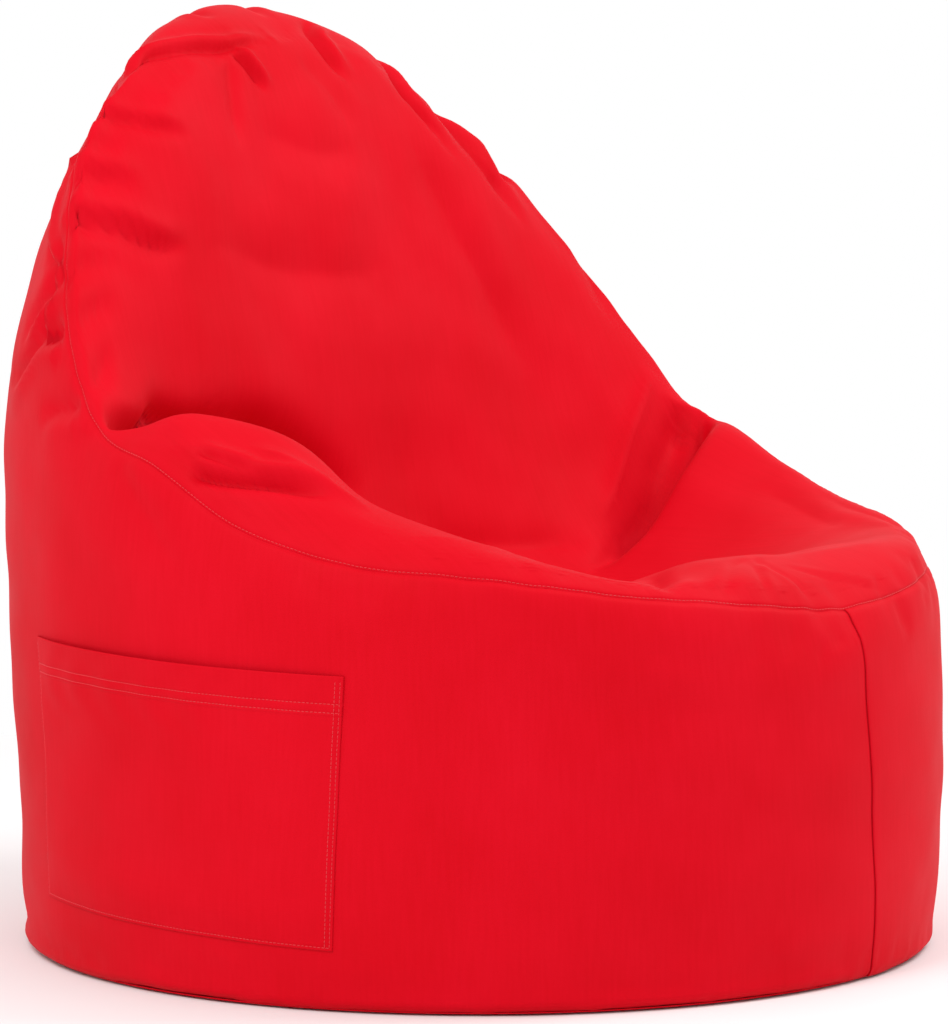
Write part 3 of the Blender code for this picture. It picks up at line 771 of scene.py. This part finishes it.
# rows and columns of cloth lie closer together beside a seam, at these distances from it
nearSeam = np.array((0, 0.0007, 0.0014, 0.002, 0.0026, 0.0034, 0.0044, 0.0058, 0.0078, 0.0105, 0.0135, 0.017))
nearFoot = np.array((0, 0.002, 0.004, 0.006, 0.0085, 0.012, 0.016))
nearUpright = np.array((0, 0.0016, 0.0032, 0.0048, 0.0060, 0.0066, 0.0074, 0.0090, 0.012, 0.016))
zipSlot = {
    "half": 0.0062,  # half the width of the opening over the teeth
    "foot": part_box("zip_tape_left")[0].z + 0.002,
    "top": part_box("zip_tape_left")[1].z - 0.002,
    "ends": 0.012,  # over this length the opening narrows to nothing
    "reach": 0.075,
    "tapeHalf": 0.0165,
    "over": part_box("zip_tape_left")[1].y + 0.0018,  # the cover's face where it lies over the tapes
    "run": 0.025,  # how far the cover takes to come down again
}
seatLook = {"columns": 541, "rows": 150, "crowding": 1.35, "keep": 0.54, "flat": (1.02, 1.30)}
sideLook = {
    "columns": 262,
    "rows": 92,
    "plumb": 0.05,  # the wall has its full folds this far above its foot
    "backCalm": 0.05,  # and this far from the back seam
    "lean": 4,  # degrees of the front seam at its foot
    "leanWidth": 28,
    "leanTop": 0.33,
    "flat": (1.40, 0.90),
}
baseLook = {"columns": 241, "height": 0.0016, "rim": 0.0006, "rimAt": 0.985, "rimWidth": 0.006}


def gridUvs(thing, column, row, uvs):
    # the cloth's own length and width in metres, so that the weave follows the cut
    layer = thing.data.uv_layers.active or thing.data.uv_layers.new(name="UVMap")
    corners = np.empty(len(thing.data.loops), np.int32)
    thing.data.loops.foreach_get("vertex_index", corners)
    layer.data.foreach_set("uv", uvs[column, row][corners].astype(np.float32).ravel())


def sheetFrom(name, points, uvs, material, thickness=None, around=False, keep=1):
    # a piece of cloth through a grid of points, closed and given its thickness
    columns, rows = points.shape[0] - 1, points.shape[1] - 1
    thing, column, row = sheetGrid(name, columns, rows)
    gridUvs(thing, column, row, uvs)
    setMeshPoints(thing.data, points[column, row])
    dress(thing, material)
    only(thing)
    if around:
        closeSeams(thing, 1e-6, turn=False)
    bpy.ops.object.shade_smooth()
    if keep < 1:
        # flat cloth needs fewer faces than its folds
        fewer = thing.modifiers.new("fewer faces", "DECIMATE")
        fewer.ratio = keep
        applyAll(thing)
    if thickness:
        wall = thing.modifiers.new("cloth thickness", "SOLIDIFY")
        wall.thickness = thickness
        wall.offset = -1
        applyAll(thing)
    return thing


def tucked(points, normals, uvs):
    # the seam allowance: one more row that turns in behind the seam
    inside = points[:, :1] - normals[:, :1] * coverLook["allowance"]
    return np.concatenate((inside, points), axis=1), np.concatenate((uvs[:, :1], uvs), axis=1)


def seatCover():
    look = seatLook
    angles = np.linspace(-180, 180, look["columns"])
    rings, lengths = rowRings(angles, seamRing, seatRing, nearSeam, look["rows"], crowding=look["crowding"])
    base, normals = bodySurface(angles, rings), bodyNormals(angles, rings)
    heights = restHeights(base, normals, lengths)
    # every column ends at the same point in the seat's middle
    toMiddle = np.clip((seatRing - rings) / 0.25, 0, 1)
    heights = heights * toMiddle + heights[:, -1:].mean() * (1 - toMiddle)
    points = settled(base + normals * heights[..., None])
    points = points + normals * seamShape(lengths, True)[..., None]
    points[-1] = points[0]
    points[:, -1] = points[:, -1].mean(axis=0)
    panels["seat"] = {"points": points, "normals": normals, "lengths": lengths, "angles": angles}
    uvs = np.stack((base[..., 0], lengths), -1)
    points, uvs = tucked(points, normals, uvs)
    thick, keep = coverLook["clothThickness"], look["keep"]
    thing = sheetFrom("seat_back_cover", points, uvs, finishes["cloth"], thick, around=True, keep=keep)
    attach(thing, "bag")
    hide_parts("seat_back_panel")


def sideAngles(side):
    # from the front seam to the back seam
    fine = np.degrees(nearUpright / wallRadius)
    middle = np.linspace(fine[-1], 180 - fine[-1], sideLook["columns"])[1:-1]
    return side * np.concatenate((fine, middle, 180 - fine[::-1]))


def openForZip(points, side):
    # the two back edges part around the zip
    slot = zipSlot
    height, across = points[..., 2], np.abs(points[..., 0])
    inside = np.minimum(height - slot["foot"], slot["top"] - height) / slot["ends"]
    share = smooth(np.clip(inside, 0, 1))
    atBack = (points[..., 1] > 0) & (across < slot["reach"])
    shift = slot["half"] * share * np.clip(1 - across / slot["reach"], 0, 1)
    points[..., 0] += np.where(atBack, side * shift, 0)
    return np.where(atBack, share, 0)


def overTapes(points):
    # the cover's two back edges lie over the zip's tapes
    slot = zipSlot
    height, across = points[..., 2], np.abs(points[..., 0])
    beyond = np.maximum(slot["foot"] - height, height - slot["top"])
    beyond = np.maximum(beyond - 0.004, across - slot["tapeHalf"])
    share = smooth(1 - np.clip(beyond / slot["run"], 0, 1)) * (points[..., 1] > 0)
    points[..., 1] += np.maximum(slot["over"] - points[..., 1], 0) * share


def leaning(vectors, angles, places=None):
    # the front seam leans to the sitter's left on its way down, and the cloth beside it too
    look = sideLook
    height = (vectors if places is None else places)[..., 2]
    beside = np.exp(-((angles / look["leanWidth"]) ** 2))[:, None]
    turn = math.radians(look["lean"]) * (np.clip(1 - height / look["leanTop"], 0, 1) * beside)
    x, y, z = vectors[..., 0], vectors[..., 1], vectors[..., 2]
    return np.stack((x * np.cos(turn) - y * np.sin(turn), x * np.sin(turn) + y * np.cos(turn), z), -1)


def sidePanel(name, node, side):
    look = sideLook
    angles = sideAngles(side)
    rings, lengths = rowRings(angles, seamRing, footEdge - 0.04, nearSeam, look["rows"], nearFoot)
    base, normals = bodySurface(angles, rings), bodyNormals(angles, rings)
    footGap = lengths[:, -1:] - lengths
    heights = restHeights(base, normals, lengths, footGap)
    radius = np.hypot(base[..., 0], base[..., 1])
    fromFront = np.radians(np.abs(angles))[:, None] * radius
    fromBack = np.radians(180 - np.abs(angles))[:, None] * radius
    upright = np.minimum(fromFront, fromBack)
    heights += 0.25 * coverLook["seamPucker"] * np.exp(-upright / 0.02) * waveHeights(base, seamWaves)
    # the wall stands plumb over its foot and lies even beside the zip
    heights *= np.clip(footGap / look["plumb"], 0.25, 1)
    calm = np.exp(-((fromBack / look["backCalm"]) ** 2))
    heights = heights * (1 - calm) + 0.0006 * calm
    placed = base + normals * heights[..., None]
    points = settled(placed) * (1 - calm[..., None]) + placed * calm[..., None]
    points = points + normals * (seamShape(lengths, False) + seamShape(footGap, False) * 0.15)[..., None]
    slotShare = openForZip(points, side)
    backDip = seamShape(fromBack, False) * (1 - slotShare)
    points = points + normals * (seamShape(fromFront, False) * 0.2 + backDip * 0.6)[..., None]
    overTapes(points)
    points[0, :, 0] = 0
    points, normals = leaning(points, angles), leaning(normals, angles, points)
    panels[name] = {"points": points, "normals": normals, "lengths": lengths, "angles": angles}
    uvs = np.stack((np.radians(angles)[:, None] * wallRadius + lengths * 0, lengths), -1)
    points, uvs = tucked(points, normals, uvs)
    thing = sheetFrom(name, points, uvs, finishes["cloth"], coverLook["clothThickness"])
    if side > 0:
        turnOut(thing)
    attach(thing, "bag")
    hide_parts(node)


def baseCover():
    look = baseLook
    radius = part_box("base_panel")[1].x
    angles = np.linspace(-180, 180, look["columns"])
    share = np.concatenate((np.linspace(0, 0.96, 40), (0.972, 0.982, 0.99, 0.996, 1.0)))
    turn = np.radians(angles)[:, None]
    reach = radius * share[None]
    height = np.full((len(angles), len(share)), look["height"])
    height += look["rim"] * np.exp(-(((share - look["rimAt"]) / look["rimWidth"]) ** 2))[None]
    points = np.stack((np.sin(turn) * reach, -np.cos(turn) * reach, height), -1)
    uvs = points[..., :2].copy()
    thing = sheetFrom("base_cover", points, uvs, finishes["cloth"], coverLook["clothThickness"], around=True)
    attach(thing, "bag")
    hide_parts("base_panel")


seatCover()
print("seat cover made")
sidePanel("left_side_cover", "left_side_panel", 1)
sidePanel("right_side_cover", "right_side_panel", -1)
baseCover()
print("side and base covers made")


pocketShape = {
    "first": -115.6,  # its two sides, as angles round the bag
    "last": -67.9,
    "flare": 1.7,  # how much further the mouth reaches to the front, in degrees
    "width": 0.38,
    "foot": 0.060,
    "mouth": 0.300,
    "tilt": 0.012,
    "hem": 0.034,
    "hemRows": (0.010, 0.042),  # the hem's two rows of stitches, above its line as shares of the height
    "standOff": 0.0016,
    "mouthLift": 0.0045,
    "belly": 0.0035,
    "edge": 0.0032,  # from the sides and the foot to their stitches
    "clothThickness": 0.0006,
    "flat": (0.40, 0.30),
}
pocketHeight = pocketShape["mouth"] - pocketShape["foot"]
hemLine = 1 - pocketShape["hem"] / pocketHeight


def onPanel(name, angles, heights):
    # points and normals of a finished wall panel, at an angle and a height
    panel = panels[name]
    order = np.argsort(panel["angles"])
    places, normals = [], []
    column = np.interp(angles, panel["angles"][order], order.astype(float))
    for place, height in zip(column, heights):
        first = int(min(max(math.floor(place), 0), len(order) - 2))
        share = place - first
        rowPoints = panel["points"][first] * (1 - share) + panel["points"][first + 1] * share
        rowNormals = panel["normals"][first] * (1 - share) + panel["normals"][first + 1] * share
        upwards = rowPoints[::-1, 2]
        places.append([np.interp(height, upwards, rowPoints[::-1, axis]) for axis in range(3)])
        normals.append([np.interp(height, upwards, rowNormals[::-1, axis]) for axis in range(3)])
    return np.array(places), unit(np.array(normals))


def pocketPlace(across, up, lift):
    # a point over the wall, across and up from 0 to 1, this far out from it
    shape = pocketShape
    angle = shape["first"] + (shape["last"] - shape["first"] + shape["flare"] * up) * across
    height = shape["foot"] + pocketHeight * up + shape["tilt"] * (0.5 - across)
    places, normals = onPanel("right_side_cover", np.ravel(angle), np.ravel(height))
    places = places + normals * np.ravel(lift)[:, None]
    return places.reshape(*np.shape(across), 3), normals.reshape(*np.shape(across), 3)


def edgeSteps(count, length, edge=0.0062):
    # even steps with a few close ones at each end, as shares of the length
    near = np.array((0.0, 0.0008, 0.0018, 0.003, 0.0036, 0.0044, edge)) / length
    return np.concatenate((near, np.linspace(near[-1], 1 - near[-1], count)[1:-1], 1 - near[::-1]))


def pocketLift(across, up):
    # the pocket's height over the wall: sewn down at its sides and foot, loose at its mouth
    shape = pocketShape
    sideGap = np.minimum(across, 1 - across) * shape["width"]
    gap = np.minimum(sideGap, up * pocketHeight)
    roundEdge = np.sqrt(np.clip(1 - np.clip(1 - gap / 0.0014, 0, 1) ** 2, 0, 1))
    lift = shape["standOff"] * roundEdge
    lift = lift - 0.0006 * np.exp(-(((gap - shape["edge"]) / 0.0009) ** 2))
    loose = np.sin(np.clip(across, 0, 1) * math.pi) ** 0.6
    lift = lift + shape["mouthLift"] * loose * np.clip((up - 0.45) / 0.55, 0, 1) ** 2
    belly = np.exp(-(((up - 0.13) / 0.10) ** 2)) * loose * np.clip(gap / 0.02, 0, 1)
    lift = lift + shape["belly"] * belly * 0.6
    # the turned hem is one more thickness of cloth
    lift = lift + 0.0007 * np.clip((up - hemLine) / 0.006 + 0.5, 0, 1)
    for row in shape["hemRows"]:
        lift = lift - 0.0006 * np.exp(-(((up - (hemLine + row)) / 0.0045) ** 2))
    ripple = 0.0007 * np.sin(across * 46 + 5 * np.sin(up * 9)) * np.exp(-(((up - hemLine) / 0.10) ** 2))
    return lift + ripple * np.clip(gap / 0.02, 0, 1)


def sidePocket():
    shape = pocketShape
    acrossSteps = edgeSteps(74, shape["width"])
    # closer rows over the hem's line and its two rows of stitches
    besideLine = np.array((-0.008, -0.004, 0, 0.004))
    besideRows = np.array((0.007, 0.010, 0.013, 0.018, 0.03, 0.036, 0.039, 0.042, 0.045, 0.05))
    hemSteps = np.concatenate((besideLine, besideRows)) + hemLine
    upSteps = np.unique(np.concatenate((edgeSteps(60, pocketHeight), hemSteps)))
    across, up = np.meshgrid(acrossSteps, upSteps, indexing="ij")
    points, normals = pocketPlace(across, up, pocketLift(across, up))
    # the mouth's edge rolls back and down inside as the turned hem
    rolls = []
    rollRadius = 0.0008
    for turn in np.linspace(0, math.pi, 7)[1:]:
        back = normals[:, -1] * (-rollRadius + rollRadius * math.cos(turn))
        rolls.append(points[:, -1] + back + np.array((0, 0, rollRadius * math.sin(turn))))
    under = []
    for down in (0.004, 0.010, 0.018, 0.026, 0.033):
        spot = up[:, -1] - down / pocketHeight
        under.append(pocketPlace(acrossSteps, spot, pocketLift(acrossSteps, spot) - 0.0014)[0])
    points = np.concatenate((points, np.stack(rolls, 1), np.stack(under, 1)), axis=1)
    lengths = np.concatenate(([0], np.cumsum(np.linalg.norm(np.diff(points[40], axis=0), axis=1))))
    uvs = np.stack(np.meshgrid(acrossSteps * shape["width"], lengths, indexing="ij"), -1)
    thing = sheetFrom("pocket_cover", points, uvs, finishes["cloth"], shape["clothThickness"])
    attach(thing, "bag")
    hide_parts("side_pocket")


sidePocket()
print("pocket made")


stitchShape = {
    "length": 0.0030,
    "pitch": 0.0038,
    "thick": 0.00042,
    "sides": 6,
    "middle": 0.0009,  # half the straight part
    "sink": 0.00045,  # how far its ends go down into the cloth
    "rise": 0.00022,
}


def oneStitch():
    # one stitch: a short thread with rounded, sinking ends, along X with Z up
    shape = stitchShape
    bpy.ops.object.select_all(action="DESELECT")
    size = {"vertices": shape["sides"], "radius": shape["thick"], "depth": shape["length"]}
    bpy.ops.mesh.primitive_cylinder_add(rotation=(0, math.pi / 2, 0), **size)
    thing = bpy.context.object
    bpy.ops.object.transform_apply(location=False, rotation=True, scale=False)
    bpy.ops.object.mode_set(mode="EDIT")
    for place in (-shape["middle"], shape["middle"]):
        bpy.ops.mesh.select_all(action="SELECT")
        bpy.ops.mesh.bisect(plane_co=(place, 0, 0), plane_no=(1, 0, 0))
    bpy.ops.object.mode_set(mode="OBJECT")
    for vertex in thing.data.vertices:
        reach = abs(vertex.co.x) / (shape["length"] / 2)
        vertex.co.z -= shape["sink"] * reach**2
        if reach > 0.9:
            vertex.co.y *= 0.6
    return thing


stitchModel = oneStitch()
stitchPoints = meshPoints(stitchModel.data)
stitchFaces = [tuple(face.vertices) for face in stitchModel.data.polygons]
bpy.data.objects.remove(stitchModel, do_unlink=True)


def between(wanted, stops, vectors):
    return np.stack([np.interp(wanted, stops, vectors[:, axis]) for axis in range(3)], -1)


def alongLine(line, normals, pitch):
    # evenly spaced spots on a line, with its direction and normal at each
    steps = np.linalg.norm(np.diff(line, axis=0), axis=1)
    run = np.concatenate(([0], np.cumsum(steps)))
    count = max(int(run[-1] / pitch), 1)
    wanted = (np.arange(count) + 0.5) * run[-1] / count
    direction = between(wanted + 0.001, run, line) - between(wanted - 0.001, run, line)
    return between(wanted, run, line), unit(direction), unit(between(wanted, run, normals))


def joined(name, vertices, faces, material):
    # one piece from many copies of a small model
    mesh = bpy.data.meshes.new(name)
    mesh.from_pydata(vertices, [], faces)
    thing = bpy.data.objects.new(name, mesh)
    bpy.context.scene.collection.objects.link(thing)
    dress(thing, material)
    return only(thing)


def stitchRows(name, rows, material):
    # every row's stitches as one piece of thread work
    vertices, faces = [], []
    for line, normals in rows:
        spots, along, up = alongLine(line, normals, stitchShape["pitch"])
        sideways = unit(np.cross(up, along))
        up = np.cross(along, sideways)
        for spot, x, y, z in zip(spots, along, sideways, up):
            start = len(vertices)
            lifted = (stitchPoints[:, 2:] + stitchShape["rise"]) * z
            placed = spot + stitchPoints[:, :1] * x + stitchPoints[:, 1:2] * y + lifted
            vertices.extend(placed.tolist())
            faces.extend(tuple(start + corner for corner in face) for face in stitchFaces)
    thing = joined(name, vertices, faces, material)
    bpy.ops.object.shade_smooth()
    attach(thing, "bag")


def panelRow(name, distance):
    # a line on a panel, this far from its seam
    panel = panels[name]
    line, normals = [], []
    for points, facing, lengths in zip(panel["points"], panel["normals"], panel["lengths"]):
        line.append(between(distance, lengths, points))
        normals.append(between(distance, lengths, facing))
    return np.array(line), unit(np.array(normals))


def uprightRow(name, distance, atBack=False, low=0.0, high=2.0):
    # a line beside an upright seam, this far from it
    panel = panels[name]
    angle = np.degrees(distance / wallRadius)
    wanted = 180 - angle if atBack else angle
    column = np.interp(wanted, np.abs(panel["angles"]), np.arange(len(panel["angles"])))
    first = min(int(column), len(panel["angles"]) - 2)
    share = column - first
    line = panel["points"][first] * (1 - share) + panel["points"][first + 1] * share
    normals = panel["normals"][first] * (1 - share) + panel["normals"][first + 1] * share
    keep = (line[:, 2] > low) & (line[:, 2] < high)
    keep[:5] = False  # clear of the seams at its two ends
    keep[-4:] = False
    return line[keep], unit(normals[keep])


def pocketRows():
    # two rows along the hem, one along the foot, one up the back side and two up the front side
    shape = pocketShape
    edgeAcross, edgeUp = shape["edge"] / shape["width"], shape["edge"] / pocketHeight
    rows = []
    steps = np.linspace(edgeAcross, 1 - edgeAcross, 120)
    for height in [hemLine + row for row in shape["hemRows"]] + [edgeUp]:
        level = np.full(len(steps), height)
        rows.append(pocketPlace(steps, level, pocketLift(steps, level)))
    ups = np.linspace(edgeUp, 1 - 0.004 / pocketHeight, 100)
    for across in (edgeAcross, 1 - edgeAcross, 1 - 2.4 * edgeAcross):
        side = np.full(len(ups), across)
        rows.append(pocketPlace(side, ups, pocketLift(side, ups)))
    return rows


seatRows = [panelRow("seat", coverLook["turnedEdge"])]
stitchRows("seat_seam_stitching", seatRows, finishes["thread"])
stitchRows("pocket_stitching", pocketRows(), finishes["thread"])
stitchRows("front_seam_stitching", [uprightRow("left_side_cover", 0.0011)], finishes["thread"])
zipRows = []
for name in ("left_side_cover", "right_side_cover"):
    zipRows.append(uprightRow(name, 0.0048, True, zipSlot["foot"] - 0.01, zipSlot["top"] + 0.01))
stitchRows("zip_stitching", zipRows, finishes["thread"])
print("stitching made")


innerLook = {
    "linerDepth": 0.0085,
    "fillingDepth": 0.0120,
    "columns": 240,
    "rows": 180,
    "linerThickness": 0.0008,
    "linerFlat": (2.0, 1.6),
    "slotReach": 0.09,  # how far from its zip the liner gives way
}


def innerSkin(depth):
    # a skin this far under the cover, which follows its folds
    columns, rows = innerLook["columns"], innerLook["rows"]
    angles = np.linspace(-180, 180, columns + 1)
    rings = np.tile(np.linspace(0, seatRing, rows + 1), (columns + 1, 1))
    base, normals = bodySurface(angles, rings), bodyNormals(angles, rings)
    heights = np.minimum(restHeights(base, normals, np.abs(rings - seamRing) * 0.1), 0.002)
    # it follows the lowest of the cover round each point
    for axis in (0, 1, 0, 1):
        heights = np.minimum(heights, np.minimum(np.roll(heights, 1, axis), np.roll(heights, -1, axis)))
    footShare = np.clip(rings / footEdge, 0, 1) ** 2
    # near the seams the skin is drawn in towards the middle of the filling
    turn = np.radians(angles)[:, None]
    core = np.stack((np.sin(turn) * 0.3 + rings * 0, -np.cos(turn) * 0.3 + rings * 0, 0.2 + rings * 0), -1)
    nearSeams = np.exp(-(((rings - seamRing) / 0.6) ** 2))[..., None]
    inward = unit(unit(core - base) * nearSeams - normals * (1 - nearSeams))
    depths = depth * (1 + nearSeams) + 0.3 * np.clip(-heights - 0.006, 0, 0.05)[..., None]
    points = settled(base + normals * (heights * footShare)[..., None]) + inward * depths
    points[-1] = points[0]
    points[:, 0] = points[:, 0].mean(axis=0)
    points[:, -1] = points[:, -1].mean(axis=0)
    uvs = np.stack((np.radians(angles)[:, None] * wallRadius + rings * 0, rings * 0.15), -1)
    return points, uvs


def linerPiece():
    look = innerLook
    points, uvs = innerSkin(look["linerDepth"])
    # the liner's two back edges part around its own zip
    low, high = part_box("liner_zip_tape_left")
    half, reach = high.x + 0.001, look["slotReach"]
    height, across = points[..., 2], np.abs(points[..., 0])
    share = np.clip(np.minimum(height - low.z, high.z - height) / 0.01 + 1, 0, 1)
    wallOnly = (points[..., 1] > 0.3) & (across < reach)
    side = np.where(np.linspace(-180, 180, points.shape[0])[:, None] < 0, -1, 1)
    points[..., 0] += np.where(wallOnly, side * half * share * np.clip(1 - across / reach, 0, 1), 0)
    thing = sheetFrom("liner_bag", points, uvs, finishes["liner"], look["linerThickness"], around=True)
    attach(thing, "bag")
    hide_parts("inner_liner")


def fillingPiece():
    points, uvs = innerSkin(innerLook["fillingDepth"])
    thing = sheetFrom("bead_filling", points, uvs, finishes["beads"], None, around=True)
    turnOut(thing)
    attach(thing, "bag")
    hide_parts("bead_fill")


linerPiece()
fillingPiece()
print("liner and filling made")


toothShape = {
    "pitch": 0.0030,
    "overhang": 0.0006,  # how far the head reaches past the bar
    "foot": 0.0012,
    "edge": 0.00022,
    "neckAt": 0.55,
    "head": 1.45,  # heights of the head and the neck, times the body's
    "neck": 0.8,
}


def newBox(name, low, high):
    low, high = np.array(low), np.array(high)
    bpy.ops.object.select_all(action="DESELECT")
    bpy.ops.mesh.primitive_cube_add(size=1, location=tuple((low + high) / 2))
    thing = bpy.context.object
    thing.name = name
    thing.data.name = name
    thing.scale = tuple(high - low)
    bpy.ops.object.transform_apply(location=True, rotation=True, scale=True)
    return thing


def bevelled(thing, width):
    modifier = thing.modifiers.new("soft edges", "BEVEL")
    modifier.width = width
    modifier.segments = 1
    modifier.limit_method = "ANGLE"
    applyAll(thing)


def oneTooth(name, side, inner, outer, back, front):
    # a moulded tooth: a body on the tape, a neck and a head that hooks between the other row's
    shape = toothShape
    recess, half = (front - back) * 0.12, shape["pitch"] * 0.26
    thing = newBox(name, (inner, back + recess, -half), (outer, front - recess, half))
    bpy.ops.object.mode_set(mode="EDIT")
    bpy.ops.mesh.select_all(action="SELECT")
    bpy.ops.mesh.bisect(plane_co=(inner + (outer - inner) * shape["neckAt"], 0, 0), plane_no=(1, 0, 0))
    bpy.ops.object.mode_set(mode="OBJECT")
    for vertex in thing.data.vertices:
        towardsMiddle = (outer - vertex.co.x) / (outer - inner)
        if towardsMiddle > 0.9:
            vertex.co.z *= shape["head"]
        elif towardsMiddle > 0.3:
            vertex.co.z *= shape["neck"]
    bevelled(thing, shape["edge"])
    if side < 0:
        for vertex in thing.data.vertices:
            vertex.co.x = -vertex.co.x
        turnOut(thing)
    return thing


def zipTeeth(name, node, side, material):
    # a row of teeth where the plain bar is, offset by half a pitch on the other side
    low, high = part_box(node)
    pitch = toothShape["pitch"]
    inner = min(abs(low.x), abs(high.x)) - toothShape["overhang"]
    outer = max(abs(low.x), abs(high.x)) + toothShape["foot"]
    tooth = oneTooth(name, side, inner, outer, low.y, high.y)
    points = meshPoints(tooth.data)
    faces = [tuple(face.vertices) for face in tooth.data.polygons]
    bpy.data.objects.remove(tooth, do_unlink=True)
    start = low.z + pitch * (0.5 if side > 0 else 1.0)
    count = int((high.z - start) / pitch)
    vertices, every = [], []
    for number in range(count):
        first = len(vertices)
        vertices.extend((points + np.array((0, 0, start + number * pitch))).tolist())
        every.extend(tuple(first + corner for corner in face) for face in faces)
    thing = joined(name, vertices, every, material)
    bpy.ops.object.shade_smooth_by_angle(angle=math.radians(40))
    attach(thing, "bag")
    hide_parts(node)


zips = (("zip", "tape", "teeth", "zip_teeth"), ("liner_zip", "linerTape", "linerTeeth", "liner_zip_teeth"))
for prefix, tape, teeth, slot in zips:
    for sideName, side in (("left", 1), ("right", -1)):
        dress(frame["nodes"][prefix + "_tape_" + sideName], finishes[tape])
        rowName, node = prefix + "_teeth_row_" + sideName, prefix + "_teeth_" + sideName
        zipTeeth(rowName, node, side, finishes[teeth])
for node in ("zip_top_stop", "zip_bottom_stop", "zip_slider", "zip_pull", "liner_zip_slider"):
    dress(frame["nodes"][node], finishes["metal"])
print("zips made")


studio = {
    "floorRadius": 1.7,
    "floor": (0.84, 0.84, 0.84),
    "floorTones": ((0.3, (0.83, 0.83, 0.83)), (0.7, (0.85, 0.85, 0.85))),
    "world": 1.0,
    # each light is (power, size, place, what it points at)
    "key": (28.0, 1.2, (1.2, -1.4, 2.3), (0, 0, 0.5)),
    "side": (26.0, 1.1, (-2.1, -0.35, 2.0), (0, 0, 0.42)),
}
view = {
    "azimuth": -51,  # degrees from the front, to the sitter's right
    "away": 4.0,
    "height": 0.68,
    "target": 0.4075,
    "shift": 0.0057,  # how far the target lies to the left of the bag's axis
    "lens": 146.8,
}


def paleFloor():
    bpy.ops.object.select_all(action="DESELECT")
    radius = studio["floorRadius"]
    bpy.ops.mesh.primitive_circle_add(vertices=128, radius=radius, fill_type="NGON", location=(0, 0, -0.0005))
    bpy.ops.object.transform_apply(location=True, rotation=False, scale=False)
    floor = bpy.context.object
    floor.name = "pale_floor"
    material, nodes, links, shader = newMaterial("pale_floor", studio["floor"], 0.9)
    shader.inputs["Specular IOR Level"].default_value = 0.1
    place = mapped(nodes, links, "Object", (1, 1, 1))
    tone = noiseOf(nodes, links, place, 1.5, 3.0)
    links.new(rampOf(nodes, links, tone, studio["floorTones"]), shader.inputs["Base Color"])
    dress(floor, material)


def softLight(name, energy, size, place, target):
    bpy.ops.object.light_add(type="AREA", location=place)
    light = bpy.context.object
    light.name = name
    light.data.shape = "DISK"
    light.data.size = size
    light.data.energy = energy
    direction = Vector(target) - Vector(place)
    light.rotation_euler = direction.to_track_quat("-Z", "Y").to_euler()


def studioLight():
    world = bpy.data.worlds.new("pale_room")
    world.use_nodes = True
    background = world.node_tree.nodes["Background"]
    background.inputs["Color"].default_value = (1, 1, 1, 1)
    background.inputs["Strength"].default_value = studio["world"]
    bpy.context.scene.world = world
    softLight("key_light", *studio["key"])
    softLight("side_light", *studio["side"])


def chairCamera():
    azimuth = math.radians(view["azimuth"])
    place = Vector((view["away"] * math.sin(azimuth), -view["away"] * math.cos(azimuth), view["height"]))
    across = Vector((math.cos(azimuth), math.sin(azimuth), 0))
    target = Vector((0, 0, view["target"])) - across * view["shift"]
    bpy.ops.object.camera_add(location=place)
    camera = bpy.context.object
    camera.name = "camera"
    camera.rotation_euler = (target - place).to_track_quat("-Z", "Y").to_euler()
    camera.data.lens = view["lens"]
    camera.data.sensor_width = 36
    camera.data.clip_end = 100
    bpy.context.scene.camera = camera


paleFloor()
studioLight()
chairCamera()
bpy.context.scene.view_settings.view_transform = "Standard"
print("floor, light and camera made")
